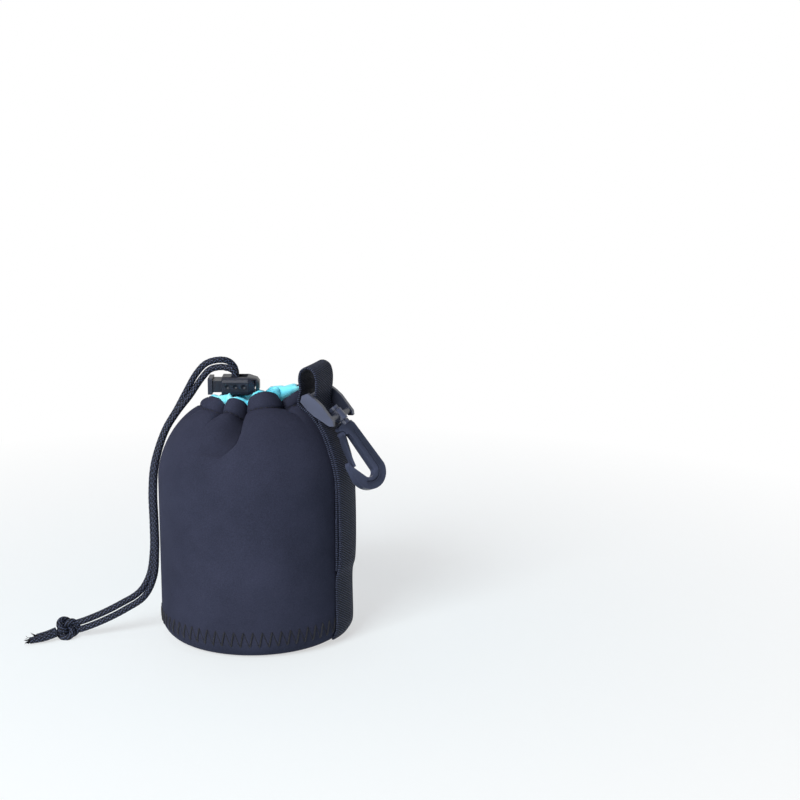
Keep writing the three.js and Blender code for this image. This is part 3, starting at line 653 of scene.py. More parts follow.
def joined_tubes(name: str, lines: Iterable[Array], radius: float, sides: int = 6) -> bpy.types.Mesh:
    """Many plain thin tubes in one mesh, with rounded ends."""
    vertices, faces = [], []
    angle = np.arange(sides) / sides * math.tau
    for line in lines:
        lean = line[1] - line[0]
        start = (0.0, 0.0, 1.0) if abs(lean[2]) < 0.8 * np.linalg.norm(lean) else (1.0, 0.0, 0.0)
        across, other = frames_along(line, start)
        share = np.linspace(0, 1, len(line))
        ring = radius * np.clip(np.sin(share * math.pi) * 4, 0.35, 1.0)
        base = len(vertices)
        away = np.cos(angle)[:, None] * across[:, None, :] + np.sin(angle)[:, None] * other[:, None, :]
        vertices += (line[:, None, :] + ring[:, None, None] * away).reshape(-1, 3).tolist()
        for i in range(len(line) - 1):
            for j in range(sides):
                k = (j + 1) % sides
                low, high = base + i * sides, base + (i + 1) * sides
                faces.append((low + j, low + k, high + k, high + j))
        faces.append(tuple(base + j for j in range(sides))[::-1])
        faces.append(tuple(base + (len(line) - 1) * sides + j for j in range(sides)))
    return smooth_mesh(name, vertices, faces)


# Pouch form, the same outline as the CAD part


@dataclass(frozen=True)
class PouchForm:
    """The pouch's outline at any direction round it. Angles are in degrees from -Y towards +X."""

    radius: float = 45 * MM
    corner: float = 9 * MM
    shoulder: float = 76 * MM
    power: float = 2 / 1.73
    last_angle: float = 72.0
    valleys: tuple = (-38, -4, 47, 95, 130, 165, 200, 245, 283, 322)
    heights: tuple = (0.78, 1, 1, 1, 0.9, 0.8, 0.75, 0.75, 1)
    strap_lobe: int = 2
    roundness: tuple = (0.7, 0.62, 0.7, 0.7, 0.7, 0.7, 0.7, 0.7, 0.42)
    skews: tuple = (1, 0.74, 1, 1, 1, 1, 1, 1, 1)
    pleat_fade: float = 4.5
    pocket_depth: float = 5.2 * MM
    crease: tuple = (
        (31, -17.0), (34, -14.0), (38, -10.0), (42, -7.4), (50, -5.4), (58, -5.0), (68, -4.6), (72, -4.0),
    )
    crease_growth: float = 24.0
    crease_edge: float = 0.3 * MM
    pocket_width: float = 10.0 * MM
    ridge_height: float = 0.6 * MM
    ridge_width: float = 4.0 * MM
    line_depth: float = 0.9 * MM
    line_offset: float = 0.45 * MM
    line_width: float = 0.5 * MM
    high_side: float = 35.0
    cord_height: float = 107.9 * MM
    cord_tilt: float = 2.5 * MM
    hem_radius: float = 25.5 * MM
    hem_height: float = 110.5 * MM
    hem_tilt: float = 3 * MM
    hem_valley_depth: float = 5.9 * MM
    hem_valley_drop: float = 4.5 * MM
    hem_strap_depth: float = 0.8 * MM
    rim_radius: float = 22 * MM
    rim_valley_depth: float = 4.6 * MM
    rim_strap_depth: float = 5 * MM
    rim_valley_height: float = 2.3 * MM
    rim_peak_height: float = 5.75 * MM
    rim_tilt: float = 1.6 * MM

    def tilt(self, angle: Array) -> Array:
        """How much a direction faces the high side."""
        return np.cos(np.radians(angle - self.high_side))

    def cord_plane(self, angle: Array) -> Array:
        """Height of the hem cord."""
        return self.cord_height + self.cord_tilt * self.tilt(angle)

    def lobes(self, angle: Array) -> tuple[Array, Array, Array]:
        """Fullness, height share and strap share of the pleats."""
        turned = (np.asarray(angle, float) - self.valleys[0]) % 360 + self.valleys[0]
        full = np.zeros_like(turned)
        high = np.ones_like(turned)
        strap = np.zeros_like(turned)
        for i in range(len(self.valleys) - 1):
            start, end = self.valleys[i], self.valleys[i + 1]
            inside = (turned >= start) & (turned < end)
            across = np.clip((turned - start) / (end - start), 0, 1)
            swell = np.sin(np.pi * across ** self.skews[i])
            full = np.where(inside, np.clip(swell, 0, 1) ** self.roundness[i], full)
            high = np.where(inside, self.heights[i], high)
            if i == self.strap_lobe:
                strap = np.where(inside, np.clip(swell, 0, 1), strap)
        return full, high, strap

    def hem(self, angle: Array) -> tuple[Array, Array]:
        """Radius and height where the shoulder ends."""
        full, _, strap = self.lobes(angle)
        radius = self.hem_radius - self.hem_valley_depth * (1 - full) + self.hem_strap_depth * strap
        return radius, self.hem_height + self.hem_tilt * self.tilt(angle) - self.hem_valley_drop * (1 - full)

    def fold(self, degrees: Array, angle: Array) -> Array:
        """Height of the one sharp fold that runs from the front notch down to the left.

        Args:
            degrees: Place on the shoulder's arch, 0 to 72.
            angle: Direction round the pouch.

        Returns:
            How far the surface stands out, in metres; the pocket left of the fold is negative.
        """
        path = np.interp(degrees, *zip(*self.crease))
        grown = np.clip((degrees - self.crease[0][0]) / self.crease_growth, 0, 1) ** 0.6
        across = np.radians((angle - path + 180) % 360 - 180) * 0.75 * self.radius
        over = 0.5 * (1 + np.tanh(across / self.crease_edge))
        pocket = -self.pocket_depth * np.exp(-((np.minimum(across, 0) / self.pocket_width) ** 2)) * (1 - over)
        ridge = self.ridge_height * np.exp(-np.maximum(across, 0) / self.ridge_width) * over
        line = -self.line_depth * np.exp(-(((across + self.line_offset) / self.line_width) ** 2))
        return grown * (pocket + ridge) + np.sqrt(grown) * line

    def rim(self, angle: Array) -> tuple[Array, Array]:
        """Radius and height of the rim's outer edge."""
        full, high, strap = self.lobes(angle)
        radius = self.rim_radius - self.rim_valley_depth * (1 - full) + self.rim_strap_depth * strap
        peak = self.rim_peak_height + self.rim_tilt * self.tilt(angle)
        return radius, self.cord_plane(angle) + self.rim_valley_height + peak * full * high

    def corner_at(self, degrees: float | Array, depth: float = 0.0) -> tuple:
        """Radius and height on the base corner."""
        turned = np.radians(degrees)
        radius = self.corner - depth
        return self.radius - self.corner + radius * np.sin(turned), self.corner - radius * np.cos(turned)

    def shoulder_at(self, degrees: Array, angle: Array) -> tuple[Array, Array]:
        """Radius and height on the shoulder, at 0 to 72 degrees of its arch."""
        full, _, _ = self.lobes(angle)
        top_radius, top_height = self.hem(angle)
        turned, last = np.radians(degrees), math.radians(self.last_angle)
        rise = np.sin(turned) ** self.power / math.sin(last) ** self.power
        inset = (1 - np.cos(turned) ** self.power) / (1 - math.cos(last) ** self.power)
        eased = (1 - full) * (1 - inset**self.pleat_fade)
        stands = self.fold(degrees, angle)
        radius = self.radius - (self.radius - top_radius - self.hem_valley_depth * eased) * inset
        height = self.shoulder + (top_height + self.hem_valley_drop * eased - self.shoulder) * rise
        return radius + stands * np.cos(turned * 0.8), height + stands * np.sin(turned * 0.8)


# Pieces


@dataclass
class PouchShell:
    """Neoprene wall and base as one smooth closed body with deep pleats and a stitched hem."""

    form: PouchForm
    finish: Neoprene = field(default_factory=Neoprene)
    thickness: float = 2.5 * MM
    columns: int = 900
    hem_groove: float = 0.5 * MM
    groove_width: float = 0.55 * MM
    hem_swell: float = 0.9 * MM
    crown_rise: float = 0.45 * MM
    least_radius: float = 0.1 * MM
    base_rows: int = 25
    corner_rows: int = 14
    wall_rows: int = 40
    arch_rows: int = 70
    hem_rows: int = 24
    crown_rows: int = 7

    def outline(self, angle: Array) -> tuple[Array, Array]:
        """Outer profile at each direction, from the base's middle to the rim's edge."""
        form = self.form
        floor = form.radius - form.corner
        rows = [(floor * share, 0.0) for share in np.linspace(0.004, 1, self.base_rows, endpoint=False)]
        rows += [form.corner_at(turned) for turned in np.linspace(0, 90, self.corner_rows)]
        levels = np.linspace(form.corner, form.shoulder, self.wall_rows + 2)[1:-1]
        rows += [(form.radius, height) for height in levels]
        arch = np.linspace(0, form.last_angle, self.arch_rows)
        rows += [form.shoulder_at(np.full_like(angle, turned), angle) for turned in arch]
        return profile(rows, len(angle))

    def grid(self) -> tuple[Array, Array]:
        """All points of the closed shell and their texture places."""
        form = self.form
        angle = directions(self.columns)
        rows = list(zip(*self.outline(angle)))
        hem_row = len(rows) - 1
        hem_r, hem_z = form.hem(angle)
        rim_r, rim_z = form.rim(angle)
        carried_r, carried_z = rows[-1][0] - hem_r, rows[-1][1] - hem_z
        for share in np.linspace(0, 1, self.hem_rows + 1)[1:]:
            swell = math.sin(share * math.pi) * self.hem_swell
            left = (1 - share) ** 2
            out = hem_r + (rim_r - hem_r) * share + swell * 0.6 + carried_r * left
            rows.append((out, hem_z + (rim_z - hem_z) * share + swell * 0.5 + carried_z * left))
        radius, height = self.grooved(*profile(rows, len(angle)), hem_row)
        inset_r, inset_z = moved_in(radius, height, self.thickness)
        inset_r = np.maximum(inset_r, self.least_radius)
        mid_r, mid_z = (radius[-1] + inset_r[-1]) / 2, (height[-1] + inset_z[-1]) / 2
        crown = []
        for turned in np.linspace(0, math.pi, self.crown_rows + 2)[1:-1]:
            share, rise = math.cos(turned), self.crown_rise * math.sin(turned)
            crown.append((mid_r + (radius[-1] - mid_r) * share, mid_z + (height[-1] - mid_z) * share + rise))
        crown_r, crown_z = profile(crown, len(angle))
        radius = np.vstack([radius, crown_r, inset_r[::-1]])
        height = np.vstack([height, crown_z, inset_z[::-1]])
        turned = np.radians(angle)
        return revolved(radius, height, turned), cloth_places(radius, height, turned, form.radius)

    def grooved(self, radius: Array, height: Array, row: int) -> tuple[Array, Array]:
        """The profile with the hem's stitched groove pressed into it at one row."""
        away = np.cumsum(np.hypot(np.gradient(radius, axis=0), np.gradient(height, axis=0)), axis=0)
        away = away - away[row]
        return moved_in(radius, height, self.hem_groove * np.exp(-((away / self.groove_width) ** 2)))

    def build(self) -> list[Piece]:
        """Adds the shell."""
        grid, uv = self.grid()
        # mask for the painted shade in the fold's pocket: the fold's depth, from 0 to 1
        shade = np.zeros(grid.shape[:2])
        first = self.base_rows + self.corner_rows + self.wall_rows
        arch = np.linspace(0, self.form.last_angle, self.arch_rows)[:, None]
        depth = -self.form.fold(arch, directions(self.columns)[None, :]) / self.form.pocket_depth
        shade[first : first + self.arch_rows] = np.clip(depth, 0, 1)
        mesh = grid_mesh("pouch_shell", grid, Lay.ROUND, uv=uv, caps=True, relief=shade)
        shell = add_object("pouch_shell", mesh, self.finish.build())
        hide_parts("wall_panel", "base_panel")
        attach(shell, "pouch")
        return [shell]


@dataclass
class PouchLining:
    """Blue lining: seen as a thin turned edge inside the rim and as gathers down to the cord."""

    form: PouchForm
    finish: Lining = field(default_factory=Lining)
    depth: float = 2.9 * MM
    thickness: float = 0.7 * MM
    neck: float = 11.5 * MM
    below_cord: float = 2.2 * MM
    above_cord: float = 1.9 * MM
    edge_inset: float = 2.6 * MM
    valley_inset: float = 1.1 * MM
    edge_over_valley: float = 5.2 * MM
    edge_over_pleat: float = 0.7 * MM
    edge_lap: float = 0.4 * MM
    lap_reach: float = 1.4 * MM
    under_rim: float = 0.1 * MM
    lock_angle: float = 220.0
    lock_half_width: float = 55.0
    lock_fade: float = 60.0
    edge_under_lock: float = 111.9 * MM
    edge_rise: float = 20 * MM
    front_middle: float = 4.0
    front_half_width: float = 64.0
    front_fade: float = 8.0
    gathers: tuple = ((0.05, 23, 0), (0.03, 41, 1))
    waves: tuple = ((0.25, 31, 0), (0.35, 17, 2))
    rows_left_out: int = 4
    least_radius: float = 0.1 * MM
    texture_radius: float = 20 * MM
    columns: int = 900
    reach: int = 9
    neck_rows: int = 7
    cord_rows: int = 5
    bowl_rows: int = 15
    turned_edge: tuple = ((0.12, 0.12), (0.45, 0.0), (0.9, 0.15))
    front_edge: tuple = (
        (-62, 115.5), (-50, 116.2), (-38, 117.0), (-31, 118.2), (-25.5, 116.6), (-17, 117.2), (-9, 116.1),
        (-4, 114.9), (0, 116.2), (4.4, 118.9), (12, 120.2), (20.3, 119.4), (23.5, 118.8), (31, 119.4),
        (38, 119.6), (46, 120.1), (53, 120.6), (60, 120.8), (70, 119.6),
    )

    def edge_height(self, angle: Array, full: Array) -> Array:
        """Height of the lining's turned edge: as photographed in front, just over the rim behind."""
        turned = (angle + 180) % 360 - 180
        _, rim_height = self.form.rim(angle)
        front = np.interp(turned, *zip(*self.front_edge)) * MM
        share = np.clip((self.front_half_width - np.abs(turned - self.front_middle)) / self.front_fade, 0, 1)
        over = self.edge_over_valley + (self.edge_over_pleat - self.edge_over_valley) * full
        height = front * share + (rim_height + over) * (1 - share)
        from_lock = np.abs((angle - self.lock_angle + 180) % 360 - 180) - self.lock_half_width
        cap = self.edge_under_lock + self.edge_rise * np.clip(from_lock / self.lock_fade, 0, 1)
        return np.minimum(height, cap)

    def ripple(self, turned: Array, table: tuple) -> Array:
        """Sum of sine waves round the pouch, each with its share, count and start."""
        return sum(share * np.sin(turned * count + start) for share, count, start in table)

    def smallest(self, rows: Array) -> Array:
        """Each value's smallest neighbour round the pouch, so that no sharp fold comes through."""
        turns = range(-self.reach, self.reach + 1)
        return np.min([np.roll(rows, turn, axis=1) for turn in turns], axis=0)

    def build(self) -> list[Piece]:
        """Adds the lining."""
        form = self.form
        angle = directions(self.columns)
        turned = np.radians(angle)
        back_r, back_z = moved_in(*PouchShell(form).outline(angle), self.depth)
        back_r = self.smallest(np.maximum(back_r, self.least_radius)[: -self.rows_left_out])
        back_z = self.smallest(back_z[: -self.rows_left_out])
        full, _, _ = form.lobes(angle)
        neck = self.neck * (1 + self.ripple(turned, self.gathers))
        low = form.cord_plane(angle) - self.below_cord
        high = form.cord_plane(angle) + self.above_cord
        rim_radius, rim_height = form.rim(angle)
        waves = self.ripple(turned, self.waves) * MM
        edge_r = rim_radius - self.edge_inset + self.valley_inset * (1 - full)
        edge_z = self.edge_height(angle, full) - self.thickness
        rows = list(zip(back_r, back_z))
        last_r, last_z = rows[-1]
        for share in np.linspace(0, 1, self.neck_rows + 1)[1:]:
            rows.append((last_r + (neck - last_r) * share, last_z + (low - last_z) * share))
        for share in np.linspace(0, 1, self.cord_rows + 1)[1:]:
            rows.append((neck, low + (high - low) * share))
        for share in np.linspace(0, math.pi / 2, self.bowl_rows + 1)[1:]:
            out, rise = math.sin(share), 1 - math.cos(share)
            fold = waves * math.sin(share * 2)
            rows.append((neck + (edge_r - neck) * out - fold, high + (edge_z - self.edge_lap - high) * rise))
        for out, drop in self.turned_edge:
            rows.append((edge_r + out * MM, edge_z - drop * MM))
        lap_z = np.minimum(edge_z - self.edge_lap, rim_height - self.under_rim)
        rows.append((edge_r + self.lap_reach, lap_z))
        outer_r, outer_z = profile(rows, len(angle))
        inner_r, inner_z = moved_in(outer_r, outer_z, self.thickness)
        inner_r = np.maximum(inner_r, self.least_radius / 2)
        radius, height = np.vstack([outer_r, inner_r[::-1]]), np.vstack([outer_z, inner_z[::-1]])
        uv = cloth_places(radius, height, turned, self.texture_radius)
        mesh = grid_mesh("pouch_lining", revolved(radius, height, turned), Lay.ROUND, uv=uv, caps=True)
        lining = add_object("pouch_lining", mesh, self.finish.build())
        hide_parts("wall_lining", "base_lining")
        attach(lining, "pouch")
        return [lining]


@dataclass
class Strap:
    """Webbing up the side, over in a loop and back down under itself."""

    form: PouchForm
    finish: Webbing = field(default_factory=Webbing)
    angle: float = 70.0
    width: float = 20 * MM
    thickness: float = 1 * MM
    step: float = 0.5 * MM
    wall_start: float = 54 * MM
    outer_gap: float = 2.2 * MM
    inner_gap: float = 0.9 * MM
    near_wall: float = 45.9 * MM
    off_wall: float = 47.2 * MM
    layer_low: float = 32 * MM
    layer_high: float = 38 * MM
    end_height: float = 36 * MM
    start_angles: tuple = (50, 63, 76, 90)
    loop: tuple = (
        (36.4, 108.4), (34.87, 111.99), (34.87, 115.46), (35.64, 120.39), (35.64, 125.43),
        (34.36, 129.01), (31.3, 130.47), (28.5, 129.01), (27.48, 125.32), (27.82, 121.73),
    )

    def directions(self) -> tuple[Array, Array]:
        """Outward and along the wall, where the strap is."""
        turned = math.radians(self.angle)
        outward = np.array((math.sin(turned), -math.cos(turned), 0))
        return outward, np.array((-outward[1], outward[0], 0))

    def offset_wall(self, distance: float) -> Array:
        """Shoulder of the lobe under the strap, moved outwards."""
        middle = (self.form.valleys[2] + self.form.valleys[3]) / 2
        turned = np.array((0.0, 12, 24, 36, 48, 60, 72))
        radius, height = self.form.shoulder_at(turned, np.full_like(turned, middle))
        rim_radius, rim_height = self.form.rim(np.array([middle]))
        wall = np.column_stack([np.append(radius, rim_radius), np.append(height, rim_height)])
        wall = np.vstack([[self.form.radius, self.wall_start], wall])
        across, up = unit(np.gradient(wall, axis=0)).T
        return wall + np.column_stack([up, -across]) * distance

    def middle(self) -> Array:
        """The strap's middle line, outward and up, from the base to its end."""
        points = [self.form.corner_at(turned, -self.inner_gap) for turned in self.start_angles]
        points += [(self.near_wall, self.layer_low), (self.off_wall, self.layer_high)]
        points += map(tuple, self.offset_wall(self.outer_gap)[1:-3])
        points += ((a * MM, b * MM) for a, b in self.loop)
        points += map(tuple, self.offset_wall(self.inner_gap)[::-1])
        return np.array([*points, (self.near_wall, self.end_height)])

    def build(self) -> list[Piece]:
        """Adds the strap."""
        outward, along = self.directions()
        flat = self.middle()
        line = smooth_line([(a, 0, b) for a, b in flat], self.step)
        tangent = unit(np.gradient(line, axis=0))
        side = np.stack([tangent[:, 2], np.zeros(len(line)), -tangent[:, 0]], axis=1)
        widths = np.linspace(-0.5, 0.5, 21) * self.width
        rows, places = [], []
        reach = self.step * np.arange(len(line))
        hug = np.clip((104 * MM - line[:, 2]) / (12 * MM), 0.15, 1)
        half = self.thickness / 2
        for layer in (1, -1):
            for w in widths[::layer]:
                edge = 1 - 0.35 * max(0.0, (abs(w) / (self.width / 2) - 0.9) / 0.1)
                place = line + side * (layer * half * edge)
                sag = (place[:, 0] - np.sqrt(np.maximum(place[:, 0] ** 2 - w * w, 0))) * hug
                a = place[:, 0] - sag
                rows.append(a[:, None] * outward + w * along + np.column_stack([0 * a, 0 * a, place[:, 2]]))
                places.append(np.column_stack([reach, np.full(len(line), w)]))
        grid = np.stack(rows, axis=1)
        uv = np.stack(places, axis=1)
        mesh = grid_mesh("strap_webbing", grid, Lay.ROUND, uv=uv, caps=True)
        strap = add_object("strap_webbing", mesh, self.finish.build())
        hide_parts("webbing_strap")
        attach(strap, "pouch")
        return [strap]


@dataclass
class DrawCord:
    """Both free runs of the drawcord, its ring in the hem, the end knot and the two tails."""

    form: PouchForm
    finish: Braid = field(default_factory=Braid)
    diameter: float = 3 * MM
    spacing: float = 3.45 * MM
    step: float = 0.25 * MM
    exit_angle: float = 222.5
    exit_half_angle: float = 18.5
    ring_radius: float = 13.4 * MM
    ring_step: float = 0.3 * MM
    pair: tuple = (
        (-9.053, 9.88, 108.601, 0), (-9.053, 9.88, 115.001, 0), (-9.053, 9.88, 122.301, 0),
        (-10.253, 9.88, 124.501, 20), (-12.853, 9.83, 126.201, 55), (-16.353, 9.63, 126.701, 85),
        (-21.753, 9.43, 125.301, 90), (-25.953, 9.13, 121.001, 75), (-31.553, 8.53, 112.201, 45),
        (-36.456, 7.4, 104.8, 15), (-41.698, 5.6, 96.4, 10), (-45.2, 3.6, 87.3, 15),
        (-47.396, 1.6, 78, 22), (-48.2, 0.4, 66, 28), (-47.9, -0.6, 52, 30), (-47.9, -2, 39, 32),
        (-49.2, -5, 27.4, 45), (-53.6, -8, 19.4, 60), (-62.5, -10.5, 14, 70), (-71.8, -12.2, 9.6, 70),
        (-79.6, -13.2, 6.6, 65), (-83.3, -13.6, 5.5, 60),
    )
    start_a: tuple = ((-10.653, 7.73, 105.701), (-9.653, 8.03, 106.401))
    start_b: tuple = ((-7.053, 11.93, 105.501), (-8.353, 11.83, 106.201))
    knot: Point = (-88.2, -14.2, 4.6)
    knot_size: float = 1.55 * MM
    knot_depth: float = 1.05
    knot_turns: tuple = (62, 20)
    knot_braid: float = 9 * math.tau * MM
    tail_a: tuple = ((-93.4, -14.6, 3.8), (-97.4, -16.4, 2.6), (-101.6, -18.6, 1.9))
    tail_b: tuple = ((-92.8, -18.6, 3.4), (-98, -21.2, 2.3), (-104.2, -23.4, 1.9))
    yarns: int = 26
    yarn_lengths: tuple = (1.2, 3.2)
    yarn_radius: float = 0.13 * MM
    yarn_floor: float = 0.25 * MM
    yarn_inset: float = 0.4 * MM
    yarn_spread: float = 0.45 * MM
    yarn_splay: float = 0.32

    def lead_points(self, start: Sequence[Point], side: int) -> Array:
        """Route of one free run, in metres."""
        pair = np.array(self.pair, float)
        tangent = unit(np.gradient(pair[:, :3], axis=0))
        level = unit(np.array((0, 1, 0)) - tangent * tangent[:, 1:2])
        turn = np.radians(pair[:, 3:])
        half = side * self.spacing / MM / 2
        beside = half * (np.cos(turn) * level - np.sin(turn) * np.cross(tangent, level))
        return np.vstack([start, pair[:, :3] + beside]) * MM

    def finish_piece(self, made: Piece, *nodes: str) -> Piece:
        """Stands a piece in for its CAD nodes, on the pouch."""
        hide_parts(*nodes)
        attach(made, "pouch")
        return made

    def build(self) -> list[Piece]:
        """Adds the cord."""
        material = self.finish.build()
        radius = self.diameter / 2
        pieces = [self.frays(material)]
        knot = self.finish_piece(add_object("end_knot", self.knot_mesh(), material), "cord_knot")
        tails = []
        for name, route in (("tail_a", self.tail_a), ("tail_b", self.tail_b)):
            mesh = cord_mesh(name, smooth_line(np.array(route) * MM, self.step), radius)
            tails.append(self.finish_piece(add_object(name, mesh, material), f"cord_{name}"))
        for name, start, side in (("lead_a", self.start_a, -1), ("lead_b", self.start_b, 1)):
            line = smooth_line(self.lead_points(start, side), self.step)
            lead = add_object(name, cord_mesh(name, line, radius), material)
            self.finish_piece(lead, f"cord_{name}")
            pieces.append(lead)
        first = self.exit_angle + self.exit_half_angle
        angle = first + (360 - 2 * self.exit_half_angle) * np.linspace(0, 1, 90)
        ring = revolved(np.full_like(angle, self.ring_radius), self.form.cord_plane(angle), np.radians(angle))
        mesh = cord_mesh("hem_ring", smooth_line(ring, self.ring_step), radius)
        pieces.append(self.finish_piece(add_object("hem_ring", mesh, material), "hem_cord"))
        return [*pieces, knot, *tails]

    def frays(self, material: Material) -> Piece:
        """Loose yarns that splay from the two cut ends."""
        rng = np.random.default_rng(11)
        lines = []
        for route in (self.tail_a, self.tail_b):
            before, end = np.array(route[-2:]) * MM
            along = unit(end - before)
            for _ in range(self.yarns):
                spread = rng.normal(0, 1, 3)
                spread -= along * spread.dot(along)
                root = end - along * self.yarn_inset + spread * self.yarn_spread
                length = rng.uniform(*self.yarn_lengths) * MM
                shares = np.array((0, 0.35, 0.7, 1))[:, None]
                line = root + along * length * shares + spread * length * self.yarn_splay * shares**2
                line[:, 2] = np.maximum(line[:, 2], self.yarn_floor)
                lines.append(line)
        mesh = joined_tubes("cord_frays", lines, self.yarn_radius, sides=5)
        made = add_object("cord_frays", mesh, material)
        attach(made, "pouch")
        return made

    def knot_mesh(self) -> bpy.types.Mesh:
        """Overhand knot of the pair: a tight trefoil turned towards the run."""
        turned = np.linspace(0, math.tau, 240, endpoint=False)
        ring = 2 + np.cos(3 * turned)
        flat = [ring * np.cos(2 * turned), ring * np.sin(2 * turned), self.knot_depth * np.sin(3 * turned)]
        tip, spin = (Matrix.Rotation(math.radians(turn), 3, way) for turn, way in zip(self.knot_turns, "XZ"))
        centre = np.array(self.knot) * MM
        line = np.column_stack(flat) * self.knot_size @ np.array(spin @ tip).T + centre
        tangent = unit(np.roll(line, -1, axis=0) - np.roll(line, 1, axis=0))
        outward = line - centre
        outward = unit(outward - (outward * tangent).sum(axis=1)[:, None] * tangent)
        along = np.linspace(0, self.knot_braid, len(line))
        other = np.cross(tangent, outward)
        grid, relief = braided_tube(line, outward, other, along, self.diameter / 2, sides=18)
        grid[..., 2] = np.maximum(grid[..., 2], 0.0)
        return grid_mesh("end_knot", grid, Lay.TORUS, relief=relief)


@dataclass
class Mouldings:
    """Plastic parts that keep their CAD form, with softened edges."""

    hook: Plastic = field(default_factory=Plastic)
    lock: Plastic = Plastic("lock_plastic", tint(22, 24, 33), tint(48, 52, 69), 0.42)
    hook_edges: tuple = (("hook_frame", 0.35), ("hook_body", 0.45), ("hook_gate", 0.3))
    lock_edges: tuple = (("lock_body", 0.3), ("lock_plunger", 0.3))
    sharp_angle: float = 40.0

    def build(self) -> list[Piece]:
        """Gives each CAD part its finish and its edge rounding."""
        nodes = []
        for finish, edges in ((self.hook, self.hook_edges), (self.lock, self.lock_edges)):
            material = finish.build()
            for name, width in edges:
                node = bpy.data.objects[name]
                node.data.materials.clear()
                node.data.materials.append(material)
                bevel = node.modifiers.new("soft_edges", "BEVEL")
                bevel.width = width * MM
                bevel.segments = 3
                bevel.limit_method = "ANGLE"
                bevel.angle_limit = math.radians(self.sharp_angle)
                bevel.use_clamp_overlap = True
                nodes.append(node)
        return nodes


@dataclass
class Coil:
    """Spring inside the cord lock, built at one length; the real spring shortens as the plunger goes in."""

    finish: Steel = field(default_factory=Steel)
    turns: int = 4
    wire: float = 0.6 * MM
    travel: float = 4 * MM

    def build(self) -> list[Piece]:
        """Adds the spring in place of its plain solid."""
        low, high = (np.array(corner, float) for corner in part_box("lock_spring"))
        middle, size = (low + high) / 2, high - low
        radius = (size[1] - self.wire) / 2
        turned = np.linspace(0, self.turns * math.tau, self.turns * 32 + 1)
        along = np.linspace(low[0] + self.wire / 2, high[0] - self.wire / 2, len(turned))
        across, up = middle[1] + radius * np.cos(turned), middle[2] + radius * np.sin(turned)
        line = np.column_stack([along, across, up])
        mesh = joined_tubes("coil_spring", [line], self.wire / 2, sides=12)
        spring = add_object("coil_spring", mesh, self.finish.build())
        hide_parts("lock_spring")
        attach(spring, "lock")
        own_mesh(spring)
        return [spring]


@dataclass
class Stitching:
    """Zigzag stitches of the base seam and the lockstitch in the hem's groove."""

    form: PouchForm
    finish: Thread = field(default_factory=Thread)
    pitch: float = 4.3 * MM
    low: float = 6.3 * MM
    high: float = 13.6 * MM
    hem_pitch: float = 2.6 * MM
    hem_share: float = 0.78
    hem_inset: float = 0.3 * MM
    hem_drop: float = 0.1 * MM
    lean: float = 1.5 * MM
    heavy_radius: float = 0.42 * MM
    light_radius: float = 0.2 * MM
    heavy_lift: float = 0.12 * MM
    light_lift: float = 0.02 * MM

    def on_wall(self, height: float, lift: float) -> float:
        """Radius of the base corner or wall at a height, plus a lift."""
        corner = self.form.corner
        drop = max(corner - height, 0.0)
        return self.form.radius - corner + math.sqrt(corner**2 - drop**2) + lift

    def stroke(self, start: float, lean: float, raised: float) -> Array:
        """One stitch of the seam, from its low end to its high end."""
        line = []
        for share in np.linspace(0, 1, 10):
            turned = start + share * lean / self.form.radius
            height = self.low + (self.high - self.low) * share
            radius = self.on_wall(height, raised * max(math.sin(share * math.pi), 0.0) ** 0.5)
            line.append((radius * math.sin(turned), -radius * math.cos(turned), height))
        return np.array(line)

    def hem_lines(self) -> list[Array]:
        """Short stitches that lie in the groove of the hem."""
        angle = np.linspace(0, 360, 1441)
        radius, height = self.form.hem(angle)
        stands = self.form.fold(np.full_like(angle, self.form.last_angle), angle)
        radius = radius + stands * 0.54 - self.hem_inset
        line = revolved(radius, height + stands * 0.84 - self.hem_drop, np.radians(angle))
        stitches = []
        for start in np.arange(0, travelled(line)[-1] - self.hem_pitch, self.hem_pitch):
            stitches.append(points_at(line, np.linspace(start, start + self.hem_share * self.hem_pitch, 6)))
        return stitches

    def build(self) -> list[Piece]:
        """Adds the stitches."""
        material = self.finish.build()
        count = int(math.tau * self.form.radius / self.pitch)
        heavy, light = [], []
        for i in range(count):
            start = math.tau * i / count
            heavy.append(self.stroke(start, self.lean, self.heavy_lift))
            back = start + self.pitch / self.form.radius
            light.append(self.stroke(back, self.lean - self.pitch, self.light_lift))
        made = []
        for name, lines, radius in (
            ("base_seam", heavy, self.heavy_radius),
            ("base_seam_under", light, self.light_radius),
            ("hem_seam", self.hem_lines(), self.light_radius),
        ):
            piece = add_object(name, joined_tubes(name, lines, radius), material)
            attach(piece, "pouch")
            made.append(piece)
        return made


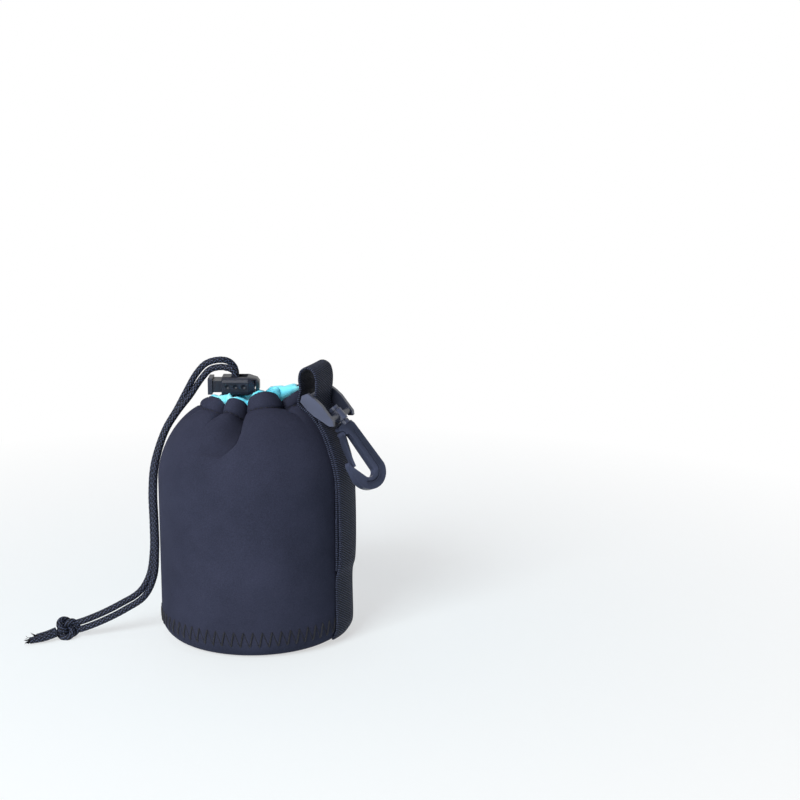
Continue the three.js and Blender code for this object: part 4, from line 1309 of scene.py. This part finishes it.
@dataclass
class Studio:
    """Camera, floor, backdrop and lamps."""

    floor: Paper = Paper("floor_paper", (0.84, 0.96, 1.0, 1.0))
    wall: Paper = Paper("backdrop_paper", (0.88, 0.88, 0.92, 1.0))
    floor_share: float = 0.6
    width: float = 3.0
    near: float = -2.0
    far: float = 1.2
    eye: Point = (0.068, -0.8053, 0.2928)
    eye_drop: float = 12.7
    lens: float = 80.0
    sensor: float = 36.0
    room_colour: tuple = (0.8, 0.88, 1.1, 1.0)
    room_strength: float = 0.06
    lamps: tuple = (
        ("key", (-0.57, -1.04, 0.8), (0, 0, 0.06), 0.7, 22.0, (0.98, 0.99, 1.0)),
        ("fill", (0.85, -0.6, 0.6), (0, 0, 0.06), 0.8, 0.05, (0.95, 0.97, 1.0)),
        ("top", (0.0, 0.1, 1.2), (0, 0, 0.05), 0.9, 2.4, (1.0, 1.0, 1.0)),
    )

    def plane(self, name: str, corners: Sequence[Point], material: Material) -> Piece:
        """A flat stage piece."""
        return add_object(name, smooth_mesh(name, corners, [(0, 1, 2, 3)]), material)

    def lamp(self, name: str, at: Point, aim: Point, size: float, power: float, colour: Point) -> None:
        """A square area lamp that faces a point."""
        data = bpy.data.lights.new(name, "AREA")
        data.shape = "SQUARE"
        data.size = size
        data.energy = power
        data.color = colour
        made = bpy.data.objects.new(name, data)
        bpy.context.scene.collection.objects.link(made)
        made.location = at
        made.rotation_euler = (Vector(aim) - Vector(at)).to_track_quat("-Z", "Y").to_euler()

    def build(self) -> list[Piece]:
        """Adds the studio."""
        scene = bpy.context.scene
        camera = bpy.data.cameras.new("camera")
        camera.lens = self.lens
        camera.sensor_width = self.sensor
        camera.dof.use_dof = False
        eye = bpy.data.objects.new("camera", camera)
        scene.collection.objects.link(eye)
        eye.location = self.eye
        eye.rotation_euler = (math.radians(90 - self.eye_drop), 0.0, 0.0)
        scene.camera = eye
        scene.view_settings.view_transform = "Standard"
        x, y, far = self.width, self.near, self.far
        ground = [(-x, y, 0), (x, y, 0), (x, far, 0), (-x, far, 0)]
        upright = [(-x, far, 0), (x, far, 0), (x, far, x), (-x, far, x)]
        floor = self.plane("floor", ground, self.floor.build(self.floor_share))
        wall = self.plane("backdrop", upright, self.wall.build(1.0))
        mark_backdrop(floor, wall)
        for lamp in self.lamps:
            self.lamp(*lamp)
        scene.world = self.room()
        return [floor, wall]

    def room(self) -> bpy.types.World:
        """A world that gives dim light and looks white to the camera."""
        graph = Graph(bpy.data.worlds.new("room"), "ShaderNodeOutputWorld")
        dim = graph.node("ShaderNodeBackground", sockets={0: self.room_colour, 1: self.room_strength})
        white = graph.node("ShaderNodeBackground", sockets={0: WHITE, 1: 1.0})
        return graph.mixed(graph.ray("Camera"), dim, white)


def plain_bounds(value: object) -> object:
    """Bounds as plain lists of numbers."""
    if isinstance(value, dict):
        return {key: plain_bounds(part) for key, part in value.items()}
    if isinstance(value, (list, tuple, Array, Vector)):
        return [plain_bounds(part) for part in value]
    return float(value)


def main() -> None:
    """Builds every piece."""
    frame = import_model()
    log.info("frame has %d nodes", len(frame["nodes"]))
    sizes = {"cad": plain_bounds(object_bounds())}
    form = PouchForm()
    cloth = [PouchShell(form), PouchLining(form), Strap(form), DrawCord(form)]
    parts = [*cloth, Mouldings(), Coil(), Stitching(form), Studio()]
    for part in parts:
        for piece in part.build():
            log.info("%s: %s", type(part).__name__, piece.name)
    sizes["scene"] = plain_bounds(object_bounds())


if __name__ == "__main__":
    logging.basicConfig(level=logging.INFO, format="%(name)s: %(message)s")
    main()
